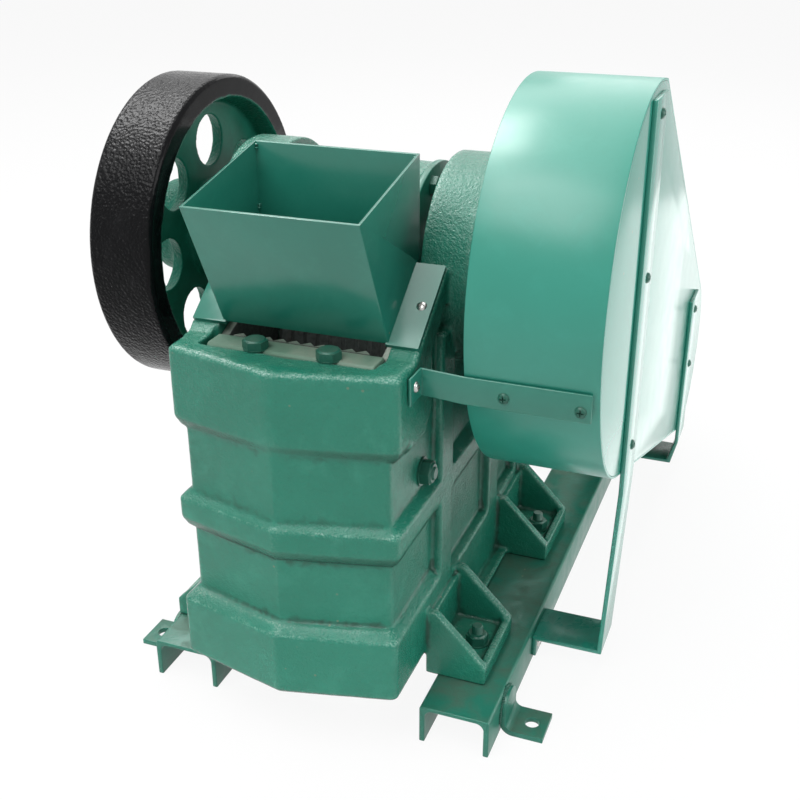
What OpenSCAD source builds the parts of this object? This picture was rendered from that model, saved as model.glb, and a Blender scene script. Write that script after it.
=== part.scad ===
// Small jaw crusher on a channel-steel base: crank shaft along X, feed mouth towards -Y

/* [Base] */
// width of one channel rail
rail_w = 63; // [50:1:100]
// height of the rail flanges
rail_h = 37.5; // [30:0.5:50]
// web thickness of the rail
rail_web = 4; // [3:0.5:6]
// flange thickness of the rail
rail_flange = 5; // [3:0.5:8]
// fillet between web and flange
rail_fillet = 7; // [3:0.5:10]
// distance between the rail centre lines
rail_gauge = 263; // [240:1:320]
// rail length
rail_len = 720; // [650:5:900]
// lug plate thickness
lug_t = 5; // [4:0.5:8]
// lug width along the rail
lug_w = 36; // [28:1:50]
// lug reach out from the rail
lug_reach = 39; // [30:1:55]
// inside bend radius of the lug
lug_bend = 7; // [4:1:8]
// height of the straight part of the lug's upright leg
lug_leg = 18; // [14:1:24]
// anchor hole radius in a lug
lug_hole_r = 6.5; // [5:0.5:9]
// anchor hole distance from the lug's outer edge
lug_hole_edge = 14; // [10:0.5:18]
// distance of the lug centre from the rail end
lug_end = 52; // [40:1:90]

/* [Frame casting] */
// body centre line off the rail centre line
body_x = -9.5; // [-14:0.5:14]
// half width over the bands
band_hw = 99.5; // [92:0.5:114]
// depth of the recessed side panels behind the bands
band_step = 9; // [5:0.5:12]
// side wall thickness over the bands
side_t = 24.5; // [20:0.5:30]
// depth of the recessed front panels behind the top band
front_step = 3; // [2:0.5:9]
// underside of the casting
frame_z0 = 55; // [48:1:60]
// top edge of the front wall
frame_top = 350; // [338:1:362]
// front corner of the bottom band
front_low_y = -28; // [-34:1:-22]
// front corner of the middle band
front_mid_y = -22; // [-28:1:-18]
// front corner of the top band
front_top_y = -19; // [-25:1:-15]
// how far the front ridge stands before the corners
front_v = 22; // [15:1:30]
// inner face of the front wall
front_in = 8; // [4:1:14]
// rear face of the frame
frame_rear_y = 352; // [344:1:380]
// rear wall thickness
rear_t = 20; // [14:1:30]
// height of the rear wall
rear_top = 262; // [240:1:290]
// depth of the ribs on the rear wall
rear_rib = 10; // [6:1:16]
// height of a rib on the rear wall
rear_rib_h = 22; // [14:1:30]
// top of the bottom band
low_top = 124; // [112:1:135]
// lip of the side ledge behind the front rib
ledge_top = 103; // [95:1:108]
// rise of the ledge from its lip to the side panel
ledge_rise = 3; // [1:0.5:5]
// lower edge of the middle band
mid_low = 182; // [172:1:188]
// upper edge of the middle band
mid_top = 221; // [212:1:228]
// lower edge of the top band
top_low = 275; // [265:1:290]
// height of the rounded lower edge of a band
band_round = 13; // [6:1:18]
// chamfer at the upper band edges
band_bevel = 8; // [4:0.5:10]
// rounding of the front corners
corner_r = 6; // [4:1:12]
// radius of the bearing housing
housing_r = 90; // [84:1:94]
// housing length beyond the band face
housing_out = 17.5; // [12:0.5:20]
// end of the raised shoulder block behind the front wall
block_end = 62; // [50:1:72]
// height of the shoulder block under the hopper flange
block_h = 30; // [20:1:40]
// width of a side rib
rib_w = 32; // [20:1:38]
// front face of the first side rib
rib1_y = 83; // [76:1:95]
// front face of the second side rib
rib2_y = 230; // [220:1:245]
// width of an upright rib on the rear wall
rear_rib_w = 16; // [10:1:22]
// width of the rear corner post
post_w = 24; // [16:1:32]
// clearance round the tension rod in the rear wall
rod_clear = 6; // [5:0.5:8]

/* [Feet] */
// front face of the front foot
foot_front_y = 45; // [40:1:54]
// front face of the rear foot
foot_rear_y = 261; // [250:1:264]
// foot length along the frame
foot_len = 88; // [76:1:90]
// foot reach from the band face
foot_reach = 55; // [46:1:62]
// foot base plate thickness
foot_plate = 12; // [8:1:16]
// gusset thickness
foot_gusset = 9; // [7:1:14]
// height of the lip round the outer end of a foot
foot_toe = 6; // [3:1:10]
// flat top of the gusset beside the frame
foot_heel = 8; // [4:1:14]
// thickness of the base flange between the feet
flange_t = 6; // [4:1:10]
// reach of the base flange from the band face
flange_w = 13; // [11:1:20]
// foot bolt hole radius
foot_hole_r = 7; // [5:0.5:9]
// foot bolt distance from the band face
foot_bolt = 34; // [26:1:38]

/* [Crank] */
// shaft axis behind the rail ends
shaft_y = 180; // [176:1:186]
// shaft axis above ground
shaft_z = 386; // [380:1:392]
// shaft radius
shaft_r = 25; // [20:0.5:30]
// shaft radius inside the swing jaw
crank_r = 32; // [28:0.5:36]
// running clearance on the shaft
shaft_clear = 0.05; // [0.02:0.01:0.1]
// bearing seat radius in the housing
seat_r = 55; // [48:1:60]
// bearing cover radius
cover_r = 72; // [66:1:78]
// bearing cover thickness
cover_t = 9; // [6:1:12]
// clearance of the shaft in the cover
cover_clear = 2; // [1:0.5:4]
// flywheel radius
fly_r = 141; // [132:1:148]
// flywheel rim width
fly_w = 61; // [50:1:66]
// gap between the left cover and the flywheel
fly_gap = 19; // [10:0.5:24]
// flywheel rim thickness
fly_rim = 20; // [16:1:28]
// flywheel web thickness
fly_web = 20; // [14:1:28]
// flywheel hub radius
fly_hub = 42; // [36:1:48]
// chamfer on the rim edges
fly_bevel = 3; // [1:0.5:5]
// web hole radius
fly_hole_r = 24; // [16:1:26]
// web hole pitch radius
fly_hole_pcd_r = 81.5; // [79:0.5:84]
// number of web holes
fly_holes = 7; // [4:1:7]
// angle of the first web hole
fly_phase = 86; // [0:1:180]
// shaft length beyond a wheel
shaft_end = 7; // [4:1:12]

/* [Jaws] */
// side clearance between a jaw and its cheek plate
jaw_side = 7; // [5:0.5:9]
// swing jaw head radius
jaw_head_r = 78; // [74:1:78]
// swing jaw end cap radius
jaw_cap_r = 80; // [78:1:80]
// swing jaw end cap thickness
jaw_cap_t = 6; // [4:1:8]
// lower edge of the jaw plates
jaw_z0 = 84; // [78:1:95]
// jaw plate thickness to the root of the teeth
jaw_t = 14; // [12:1:18]
// tooth height
tooth_h = 6; // [4:0.5:8]
// number of teeth across a plate
teeth = 10; // [7:1:12]
// discharge gap between the tooth tips
gap_low = 16; // [14:0.5:24]
// feed opening between the tooth tips
gap_high = 70; // [60:1:74]
// top of the swing plate below the frame top
swing_drop = 16; // [10:1:30]
// clamp bar height
clamp_h = 16; // [12:1:22]
// depth of the clamp bar over the front wall
clamp_in = 12; // [8:1:16]
// depth of the clamp bar over the jaw plate
clamp_lip = 12; // [8:1:12]
// clearance beside the clamp bar
clamp_side = 2; // [1:0.5:4]
// cheek plate thickness
cheek_t = 8; // [6:0.5:10]
// swing jaw thickness at its lower end
jaw_foot = 70; // [60:1:80]
// rear face of the swing jaw at its middle, behind the shaft
jaw_back = 36; // [28:1:44]
// clearance between the jaw and the toggle plate
toggle_clear = 8; // [8:0.5:10]
// toggle plate thickness
toggle_t = 13; // [10:1:16]
// height of the toggle end at the jaw
toggle_z0 = 120; // [112:1:128]
// height of the toggle end at the rear seat
toggle_z1 = 143; // [138:1:150]
// toggle seat depth
seat_d = 34; // [26:1:40]
// toggle seat height
seat_h = 50; // [42:1:56]
// gap between the toggle seat and a side wall
seat_gap = 8; // [4:1:12]
// tension rod radius
rod_r = 6; // [5:0.5:8]
// tension rod height
rod_z = 98; // [95:1:104]
// tension rod length beyond the rear ribs
rod_out = 74; // [60:1:90]
// tension spring radius
spring_r = 15; // [13:0.5:18]
// tension spring wire thickness
spring_wire = 4; // [3:0.5:5]
// gap between the tension spring and its washer
spring_gap = 8; // [8:0.5:10]
// tension spring length
spring_len = 52; // [42:1:58]

/* [Hopper] */
// hopper centre beside the body centre line
hop_off = 1.5; // [0:0.5:2.5]
// half width of the hopper
hop_hw = 72; // [66:0.5:72.5]
// sheet thickness
hop_t = 2; // [1.5:0.5:3]
// top front edge
hop_yf = -27; // [-35:1:-18]
// top front edge height
hop_zf = 467; // [455:1:480]
// bottom front edge
hop_y0 = 26; // [22:1:32]
// bottom front edge above the frame
hop_z0 = 9; // [7:0.5:12]
// rear wall face
hop_yr = 95; // [88:1:96]
// top rear edge height
hop_zr = 492; // [480:1:505]
// rise of the frame shoulder along the hopper
hop_rise = 47; // [40:1:52]
// outer edge of the flange inside the band face
hop_flange_in = 1; // [0:0.5:4]

/* [Guard] */
// inner edge of the guard
guard_x0 = 128; // [126:1:134]
// outer face of the guard
guard_x1 = 232; // [224:1:245]
// guard radius at the shaft
guard_r = 165; // [160:1:170]
// guard centre below the shaft
guard_drop = 7; // [0:0.5:8]
// angle where the front arc ends at the top
guard_top_a = 78; // [70:1:84]
// guard radius at the motor
guard_r2 = 91; // [86:1:96]
// guard sheet thickness
guard_t = 2; // [1.5:0.5:3]
// strip thickness
strip_t = 4; // [3:0.5:5]
// front bracket sheet thickness
bracket_t = 2.5; // [2:0.5:4]
// front bracket strip width
strip_w = 23; // [18:1:28]
// height of the front bracket strip
strip_z = 333.5; // [326:0.5:338]
// how far the strip comes forward from the frame to the guard
strip_set = 5; // [3:0.5:8]
// length of the bracket tab on the frame
strip_tab = 21; // [18:1:26]
// width of a guard leg
leg_w = 50; // [36:1:54]
// centre of the front leg before the shaft axis
leg_front = 12; // [-10:1:16]
// how far the leg foot stands in from the guard face
leg_in = 7; // [0:1:12]
// leg foot height below the rail top
leg_drop = 9; // [4:1:12]
// height of the tab on the rail flange
leg_tab = 22; // [16:1:26]
// top of the front leg below the guard top
leg_top = 9; // [8:1:30]
// top of the rear leg above the motor axis
leg_rear_top = 90; // [60:1:90]
// centre of the rear leg before the motor axis
leg_rear = 32; // [30:1:46]

/* [Drive] */
// motor axis before the rail end
motor_end = 110; // [104:1:124]
// motor shaft height over its base
motor_shaft_h = 90; // [86:1:95]
// motor base height
motor_base_h = 19; // [14:1:24]
// motor base sheet thickness
motor_base_t = 6; // [4:1:8]
// motor base width along the rails
motor_base_w = 180; // [170:1:190]
// motor barrel radius over the fins
motor_r = 82; // [76:1:84]
// fin height
fin_h = 9; // [6:1:12]
// fin thickness
fin_t = 3; // [2:0.5:4]
// number of fins
fins = 28; // [20:2:36]
// motor barrel length
motor_len = 168; // [150:1:176]
// left end of the motor barrel
motor_x = -92; // [-96:1:-84]
// end bell length
bell_len = 22; // [16:1:26]
// fan cowl length
cowl_len = 52; // [44:1:58]
// number of air slots in the fan cowl
cowl_slots = 14; // [8:1:16]
// air slot width
cowl_slot = 6; // [4:0.5:7]
// air slot depth
cowl_depth = 5; // [3:0.5:8]
// radius of the closed middle of the fan cowl
cowl_eye = 17; // [16:1:26]
// motor foot width
mfoot_w = 40; // [32:1:48]
// motor foot pitch across the axis
mfoot_pitch = 140; // [130:1:150]
// motor foot thickness
mfoot_t = 11; // [8:1:14]
// terminal box width
box_w = 92; // [80:1:100]
// terminal box length
box_l = 96; // [84:1:104]
// terminal box height above the fins
box_h = 40; // [30:1:46]
// cable gland radius on the terminal box
gland_r = 11; // [8:0.5:14]
// cable gland length
gland_len = 14; // [10:1:20]
// motor shaft radius
motor_shaft_r = 12; // [10:0.5:14]
// large pulley radius
pulley_r = 138; // [130:1:142]
// small pulley core radius
pulley2_r = 48; // [42:1:54]
// small pulley flange height
pulley2_rim = 14; // [13:1:16]
// pulley width
pulley_w = 62; // [56:1:66]
// gap between the right cover and the pulley
pulley_gap = 28; // [24:1:32]
// pulley hub radius
pulley_hub = 40; // [36:1:46]
// pulley rim thickness
pulley_rim = 30; // [26:1:36]
// pulley web thickness
pulley_web = 22; // [16:1:28]
// belt loop width
belt_w = 44; // [36:1:46]
// belt thickness
belt_t = 11; // [9:1:12]
// belt clearance in the pulley groove
belt_clear = 5; // [5:0.5:6]

/* [Hidden] */
$fn = 72;
eps = 0.01;
fit_gap = 0.1;
arc_steps = 60;
recess_hw = band_hw - band_step;
inner_hw = band_hw - side_t;
housing_hw = band_hw + housing_out;
jaw_hw = inner_hw - cheek_t - jaw_side;
head_hw = jaw_hw - jaw_cap_t;
clamp_hw = inner_hw - clamp_side;
rail_in = rail_gauge / 2 - rail_w / 2;
rail_out = rail_gauge / 2 + rail_w / 2;
lug_hole_x = lug_reach - lug_hole_edge;
side_y0 = front_in;
fly_x = body_x - housing_hw - cover_t - fly_gap;
pulley_x = body_x + housing_hw + cover_t + pulley_gap;
motor_y = rail_len - motor_end;
motor_z = rail_h + motor_base_h + motor_shaft_h;
guard_z = shaft_z - guard_drop;
belt_r1 = pulley_r - 2 - belt_t;
belt_x = pulley_x + (pulley_w - belt_w) / 2;
fix_tip = front_in + jaw_t + tooth_h;
swing_y0 = fix_tip + gap_low + jaw_t + tooth_h;
swing_top = frame_top - swing_drop;
jaw_tilt = atan((gap_high - gap_low) / (swing_top - jaw_z0));
seat_y = frame_rear_y - rear_t - seat_d;
clamp_z = frame_top - clamp_h + 1;
jaw_rear_y = swing_y0 + jaw_foot;
hop_x = body_x + hop_off;
fin_r = motor_r - fin_h;
cowl_end = motor_x - cowl_len;
cowl_r = motor_r - 16;
casting = [0.24, 0.49, 0.42];

// row origin on the ground midway between the anchor lugs
module place() { translate([0, -rail_len / 2, 0]) children(); }

// extrude a Y-Z outline along X from x0 to x1
module along_x(x0, x1) {
    translate([x0, 0, 0]) rotate([90, 0, 90]) linear_extrude(height = x1 - x0) children();
}

// extrude an X-Z outline along Y from y0 to y1
module along_y(y0, y1) {
    translate([0, y1, 0]) rotate([90, 0, 0]) linear_extrude(height = y1 - y0) children();
}

module disc_x(x0, x1, r, y = shaft_y, z = shaft_z) {
    translate([x0, y, z]) rotate([0, 90, 0]) cylinder(r = r, h = x1 - x0);
}

// turn an X-R outline about an axis along X
module turn_x(y = shaft_y, z = shaft_z) {
    translate([0, y, z]) rotate([0, 90, 0]) rotate_extrude() children();
}

function arc(cy, cz, r, a0, a1) =
    [for (i = [0:arc_steps]) let (a = a0 + (a1 - a0) * i / arc_steps) [cy + r * cos(a), cz + r * sin(a)]];

// angle of the outer tangent between two circles, on the low or the high side
function tangent_a(y1, z1, r1, y2, z2, r2, side) =
    atan2(z2 - z1, y2 - y1) + side * (90 - asin((r1 - r2) / norm([y2 - y1, z2 - z1])));

// belt loop outline round the two pulleys
module belt_outline(r1, r2) {
    lo = tangent_a(shaft_y, shaft_z, r1, motor_y, motor_z, r2, -1);
    hi = tangent_a(shaft_y, shaft_z, r1, motor_y, motor_z, r2, 1);
    polygon(concat(arc(motor_y, motor_z, r2, lo, hi), arc(shaft_y, shaft_z, r1, hi, lo + 360)));
}

// guard outline: front arc, straight roof, small arc behind the motor pulley, straight underside
module guard_outline(r1, r2) {
    lo = tangent_a(shaft_y, guard_z, r1, motor_y, motor_z, r2, -1);
    p = [shaft_y + r1 * cos(guard_top_a), guard_z + r1 * sin(guard_top_a)];
    v = p - [motor_y, motor_z];
    hi = atan2(v[1], v[0]) - acos(r2 / norm(v));
    polygon(concat(arc(motor_y, motor_z, r2, lo, hi), arc(shaft_y, guard_z, r1, guard_top_a, lo + 360)));
}

// height of the guard's straight underside at depth y
function guard_low(y) =
    let (a = tangent_a(shaft_y, guard_z, guard_r, motor_y, motor_z, guard_r2, -1))
    guard_z + (guard_r - (y - shaft_y) * cos(a)) / sin(a);

// channel rail with its web on top and filleted inner corners
module rail(side) {
    k = rail_w / 2 - rail_flange;
    z1 = rail_h - rail_web;
    color([0.16, 0.36, 0.30]) translate([side * rail_gauge / 2, 0, 0]) along_y(0, rail_len) difference() {
        polygon([[-rail_w / 2, 0], [rail_w / 2, 0], [rail_w / 2, rail_h - 2],
            [rail_w / 2 - 2, rail_h], [2 - rail_w / 2, rail_h], [-rail_w / 2, rail_h - 2]]);
        translate([-k, -1]) square([2 * k, z1 - rail_fillet + 1]);
        translate([rail_fillet - k, -1]) square([2 * (k - rail_fillet), z1 + 1]);
        for (s = [-1, 1]) translate([s * (k - rail_fillet), z1 - rail_fillet]) circle(r = rail_fillet);
    }
}

// quarter bend of a lug between its upright leg and its foot
module lug_elbow(r) {
    intersection() {
        translate([r, lug_w / 2, r]) rotate([90, 0, 0]) difference() {
            cylinder(r = r, h = lug_w);
            translate([0, 0, -1]) cylinder(r = lug_bend, h = lug_w + 2);
        }
        translate([0, -lug_w / 2, 0]) cube([r, lug_w, r]);
    }
}

// anchor lug bent from plate, round-topped upright leg on the rail flange
module lug(side, y) {
    r = lug_bend + lug_t;
    top_r = min(lug_w / 2, rail_h - 2 - lug_leg);
    color([0.16, 0.36, 0.30]) translate([side * rail_out, y, 0])
        rotate([0, 0, side > 0 ? 0 : 180]) difference() {
        union() {
            translate([r, -lug_w / 2, 0]) cube([lug_reach - r, lug_w, lug_t]);
            lug_elbow(r);
            translate([0, -lug_w / 2, r]) cube([lug_t, lug_w, lug_leg - r]);
            intersection() {
                translate([0, 0, lug_leg]) rotate([0, 90, 0]) cylinder(r = top_r, h = lug_t);
                translate([0, -lug_w / 2, lug_leg]) cube([lug_t, lug_w, lug_w]);
            }
        }
        translate([lug_hole_x, 0, -1]) cylinder(r = lug_hole_r, h = lug_t + 2);
    }
}

// plan of the front wall: shallow V with round corners
module front_plan(hw, yc) {
    polygon([[-hw, front_in], [-hw, yc + corner_r], [-hw + corner_r, yc], [0, yc - front_v],
        [hw - corner_r, yc], [hw, yc + corner_r], [hw, front_in]]);
    for (s = [-1, 1]) translate([s * (hw - corner_r), yc + corner_r]) circle(r = corner_r);
}

// raised band round the front with chamfered upper and lower edges
module front_band(z0, z1, yc, low, high) {
    hull() {
        translate([0, 0, z0]) linear_extrude(height = eps) front_plan(recess_hw, yc + band_step);
        translate([0, 0, z0 + low * 0.35]) linear_extrude(height = eps)
            front_plan(band_hw - band_step * 0.4, yc + band_step * 0.4);
        translate([0, 0, z0 + low]) linear_extrude(height = z1 - z0 - low - high) front_plan(band_hw, yc);
        translate([0, 0, z1 - eps]) linear_extrude(height = eps)
            front_plan(band_hw - high, yc + high);
    }
}

module frame_front() {
    color(casting) translate([body_x, 0, 0]) difference() {
        union() {
            front_band(frame_z0, low_top, front_low_y, band_round / 2, band_bevel);
            front_band(mid_low, mid_top, front_mid_y, band_round, band_bevel);
            front_band(top_low, frame_top, front_top_y, band_round, 3);
            translate([0, 0, frame_z0]) linear_extrude(height = frame_top - frame_z0)
                front_plan(recess_hw, front_top_y + front_step);
        }
        translate([-band_hw - 1, front_in, frame_z0 - 1]) cube([2 * band_hw + 2, band_hw, frame_top]);
        translate([-clamp_hw, front_in - clamp_in, clamp_z])
            cube([2 * clamp_hw, clamp_in + 1, clamp_h + 1]);
    }
}

// side wall outline with the sloped shoulder under the hopper flange
module side_outline() {
    polygon([[side_y0, frame_z0], [frame_rear_y, frame_z0], [frame_rear_y, rear_top],
        [shaft_y + housing_r * 0.9, shaft_z - housing_r * 0.4], [shaft_y, shaft_z],
        [hop_yr - 5, frame_top + hop_z0 - 3 + hop_rise], [hop_y0, frame_top + hop_z0 - 3],
        [hop_y0 - 8, frame_top], [side_y0, frame_top]]);
    translate([shaft_y, shaft_z]) circle(r = housing_r);
}

// raised band along the side wall, chamfered as on the front
module side_band(z0, z1, y0, y1, low, high) {
    along_y(y0, y1) polygon([[inner_hw + eps, z0], [recess_hw, z0],
        [band_hw - band_step * 0.4, z0 + low * 0.35], [band_hw, z0 + low], [band_hw, z1 - high],
        [band_hw - min(high, band_step), z1], [inner_hw + eps, z1]]);
}

// raised block behind the front wall, running up under the hopper flange
module shoulder_block() {
    z1 = frame_top + hop_z0 - 3;
    k = hop_rise / (hop_yr - 5 - hop_y0);
    for (e = [[inner_hw + eps, band_hw - band_step * 0.4, 0], [band_hw - band_step * 0.5, band_hw, 5]])
        along_x(e[0], e[1]) polygon([[side_y0, top_low + e[2]], [block_end - 20, top_low + e[2]],
            [block_end - 8 - e[2], top_low + 8 + e[2]], [block_end - e[2], top_low + 24],
            [block_end - e[2], z1 + (block_end - hop_y0) * k - block_h - 6],
            [hop_yr - 5, z1 + hop_rise - block_h], [hop_yr - 5, z1 + hop_rise], [hop_y0, z1],
            [hop_y0 - 8, frame_top], [side_y0, frame_top]]);
}

// base ledge behind the front rib, its face running down to the rails
module side_ledge() {
    along_y(rib1_y, frame_rear_y) polygon([[inner_hw + eps, rail_h], [band_hw, rail_h],
        [band_hw, ledge_top], [recess_hw, ledge_top + ledge_rise],
        [inner_hw + eps, ledge_top + ledge_rise]]);
}

module frame_side() {
    difference() {
        union() {
            along_x(inner_hw, recess_hw) side_outline();
            side_band(frame_z0, low_top, side_y0, rib1_y + eps, band_round / 2, band_bevel);
            side_ledge();
            translate([band_hw - eps, foot_front_y + foot_len, rail_h])
                cube([flange_w, foot_rear_y - foot_front_y - foot_len, flange_t]);
            side_band(mid_low, mid_top, side_y0, rib2_y + eps, band_round, band_bevel);
            shoulder_block();
            side_band(frame_z0, shaft_z - housing_r * 0.4, rib1_y, rib1_y + rib_w, 4, 4);
            side_band(frame_z0, rear_top + 8, rib2_y, rib2_y + rib_w, 4, 4);
            side_band(frame_z0, rear_top - 8, frame_rear_y - post_w, frame_rear_y, 4, 4);
            disc_x(inner_hw, housing_hw, housing_r);
        }
        disc_x(inner_hw - 1, housing_hw + 1, seat_r);
    }
}

module frame_left() { color(casting) translate([body_x, 0, 0]) mirror([1, 0, 0]) frame_side(); }
module frame_right() { color(casting) translate([body_x, 0, 0]) frame_side(); }

module frame_rear() {
    color(casting) translate([body_x, 0, 0]) difference() {
        union() {
            translate([-inner_hw, frame_rear_y - rear_t, frame_z0])
                cube([2 * inner_hw, rear_t, rear_top - frame_z0]);
            for (z = [frame_z0, toggle_z1 - rear_rib_h / 2, rear_top - rear_rib_h])
                translate([-inner_hw, frame_rear_y - eps, z]) cube([2 * inner_hw, rear_rib, rear_rib_h]);
            for (s = [-1, 1])
                translate([s * inner_hw * 0.55 - rear_rib_w / 2, frame_rear_y - eps, frame_z0])
                cube([rear_rib_w, rear_rib, rear_top - frame_z0]);
            translate([0, frame_rear_y + rear_rib, rod_z]) rotate([90, 0, 0])
                cylinder(r = spring_r + 5, h = rear_rib + 1);
        }
        translate([0, frame_rear_y + rear_rib + 1, rod_z]) rotate([90, 0, 0])
            cylinder(r = rod_r + rod_clear, h = rear_t + rear_rib + 2);
    }
}

// foot pocket: base plate between two gussets
module foot(y) {
    difference() {
        union() {
            translate([band_hw, y, rail_h]) cube([foot_reach, foot_len, foot_plate]);
            translate([band_hw, y, rail_h]) cube([foot_heel / 2, foot_len, ledge_top - foot_heel - rail_h]);
            for (g = [y, y + foot_len - foot_gusset]) along_y(g, g + foot_gusset)
                polygon([[band_hw, rail_h], [band_hw + foot_reach, rail_h],
                    [band_hw + foot_reach, rail_h + foot_plate + foot_toe],
                    [band_hw + foot_heel, ledge_top], [band_hw, ledge_top]]);
            translate([band_hw + foot_reach - foot_gusset * 0.8, y, rail_h])
                cube([foot_gusset * 0.8, foot_len, foot_plate + foot_toe]);
        }
        translate([band_hw + foot_bolt, y + foot_len / 2, rail_h - 1])
            cylinder(r = foot_hole_r, h = foot_plate + 2);
    }
}

module foot_at(side, y) {
    color(casting) translate([body_x, 0, 0]) {
        if (side > 0) foot(y);
        else mirror([1, 0, 0]) foot(y);
    }
}

module on_side(side) {
    translate([body_x, 0, 0]) {
        if (side > 0) children();
        else mirror([1, 0, 0]) children();
    }
}

module bearing(side) {
    color([0.55, 0.56, 0.58]) on_side(side) difference() {
        disc_x(inner_hw, housing_hw, seat_r - fit_gap);
        disc_x(inner_hw - 1, housing_hw + 1, shaft_r + shaft_clear);
    }
}

// bearing cover with a stepped boss and a bore for the shaft
module cover(side) {
    r0 = shaft_r + cover_clear;
    color([0.20, 0.44, 0.37]) on_side(side) turn_x()
        polygon([[r0, housing_hw], [cover_r, housing_hw], [cover_r, housing_hw + cover_t * 0.6],
            [cover_r - 2, housing_hw + cover_t * 0.6 + 2], [seat_r - 6, housing_hw + cover_t * 0.6 + 2],
            [seat_r - 8, housing_hw + cover_t], [r0, housing_hw + cover_t]]);
}

// toothed jaw plate, back face at y = 0, teeth towards +Y
module jaw_plate(z0, z1) {
    p = 2 * jaw_hw / teeth;
    translate([0, 0, z0]) linear_extrude(height = z1 - z0)
        polygon(concat([[jaw_hw, 0], [jaw_hw, jaw_t]],
            [for (i = [teeth - 1:-1:0], e = [0, 1])
                [-jaw_hw + (i + (e == 0 ? 0.5 : 0)) * p, jaw_t + (e == 0 ? tooth_h : 0)]],
            [[-jaw_hw, 0]]));
}

module fixed_jaw() {
    color([0.35, 0.36, 0.36]) translate([body_x, front_in, 0]) difference() {
        jaw_plate(jaw_z0, frame_top);
        translate([-jaw_hw - 1, -1, clamp_z]) cube([2 * jaw_hw + 2, clamp_lip + 1, clamp_h]);
    }
}

module clamp_bar() {
    color([0.22, 0.45, 0.38]) translate([body_x, front_in, 0]) along_x(-clamp_hw, clamp_hw)
        polygon([[-clamp_in, clamp_z], [clamp_lip, clamp_z], [clamp_lip, clamp_z + clamp_h - 3],
            [clamp_lip - 3, clamp_z + clamp_h], [-clamp_in + 2, clamp_z + clamp_h],
            [-clamp_in, clamp_z + clamp_h - 2]]);
}

module cheek(side) {
    color([0.33, 0.34, 0.33]) on_side(side) along_x(inner_hw - cheek_t, inner_hw)
        polygon([[front_in, jaw_z0 - 4], [swing_y0, jaw_z0 - 4], [swing_y0 + gap_high - gap_low, swing_top],
            [hop_y0 + 30, frame_top + 8], [hop_y0 - 2, frame_top - 5],
            [front_in + clamp_lip + 1, clamp_z - 1], [front_in, clamp_z - 1]]);
}

module toggle_seat() {
    color([0.30, 0.31, 0.31]) translate([body_x, 0, 0]) difference() {
        translate([-inner_hw + seat_gap, seat_y, toggle_z1 - seat_h / 2])
            cube([2 * (inner_hw - seat_gap), seat_d, seat_h]);
        disc_x(-inner_hw, inner_hw, toggle_t / 2 + 0.4, seat_y, toggle_z1);
    }
}

// toggle plate with round ends, one in the rear seat, one short of the jaw
module toggle_plate() {
    y0 = jaw_rear_y + toggle_clear + toggle_t / 2;
    a = atan2(toggle_z1 - toggle_z0, seat_y - y0);
    d = toggle_t / 2;
    color([0.32, 0.33, 0.33]) translate([body_x, 0, 0]) union() {
        along_x(-jaw_hw, jaw_hw) polygon([[y0 + d * sin(a), toggle_z0 - d * cos(a)],
            [seat_y + d * sin(a), toggle_z1 - d * cos(a)], [seat_y - d * sin(a), toggle_z1 + d * cos(a)],
            [y0 - d * sin(a), toggle_z0 + d * cos(a)]]);
        disc_x(-jaw_hw, jaw_hw, d - eps, y0, toggle_z0);
        disc_x(-jaw_hw, jaw_hw, d - eps, seat_y, toggle_z1);
    }
}

module tension_spring() {
    color([0.40, 0.41, 0.42]) translate([body_x, frame_rear_y + rear_rib + spring_len, rod_z])
        rotate([90, 0, 0]) difference() {
            cylinder(r = spring_r, h = spring_len);
            translate([0, 0, -1]) cylinder(r = spring_r - spring_wire, h = spring_len + 2);
        }
}

module tension_rod() {
    l = frame_rear_y + rear_rib + rod_out - jaw_rear_y;
    w = frame_rear_y + rear_rib + spring_len + spring_gap;
    color([0.50, 0.51, 0.52]) translate([body_x, 0, rod_z]) union() {
        translate([0, jaw_rear_y + l, 0]) rotate([90, 0, 0]) cylinder(r = rod_r, h = l);
        translate([0, w + 4, 0]) rotate([90, 0, 0]) cylinder(r = spring_r + 1, h = 4);
    }
}

// swing jaw: round head on the shaft, tapered arm and toggle pad
module swing_jaw() {
    color([0.22, 0.45, 0.38]) translate([body_x, 0, 0]) difference() {
        union() {
            disc_x(-head_hw, head_hw, jaw_head_r);
            along_x(-jaw_hw, jaw_hw) polygon([[swing_y0, jaw_z0],
                [swing_y0 + gap_high - gap_low, swing_top], [shaft_y - jaw_head_r * 0.8, shaft_z],
                [shaft_y + jaw_head_r * 0.8, shaft_z],
                [shaft_y + jaw_back, shaft_z - 120], [jaw_rear_y, toggle_z0 + 30], [jaw_rear_y, jaw_z0]]);
        }
        disc_x(-jaw_hw - 1, jaw_hw + 1, crank_r + shaft_clear);
        disc_x(head_hw, jaw_hw + 1, jaw_cap_r + fit_gap);
        disc_x(-jaw_hw - 1, -head_hw, jaw_cap_r + fit_gap);
        for (s = [-1, 1]) translate([s * jaw_hw / 2 - jaw_hw / 2 + 8, swing_y0 + 66, toggle_z0 + 42])
            cube([jaw_hw - 16, jaw_hw * 2, shaft_z - jaw_head_r - toggle_z0 - 52]);
    }
}

module jaw_cap(side) {
    color([0.22, 0.45, 0.38]) on_side(side) difference() {
        disc_x(head_hw, jaw_hw, jaw_cap_r);
        disc_x(head_hw - 1, jaw_hw + 1, crank_r + cover_clear);
    }
}

module swing_plate() {
    l = (swing_top - jaw_z0) / cos(jaw_tilt);
    color([0.35, 0.36, 0.36]) translate([body_x, swing_y0, jaw_z0])
        rotate([-jaw_tilt, 0, 0]) rotate([0, 0, 180]) jaw_plate(0, l - 4);
}

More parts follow.
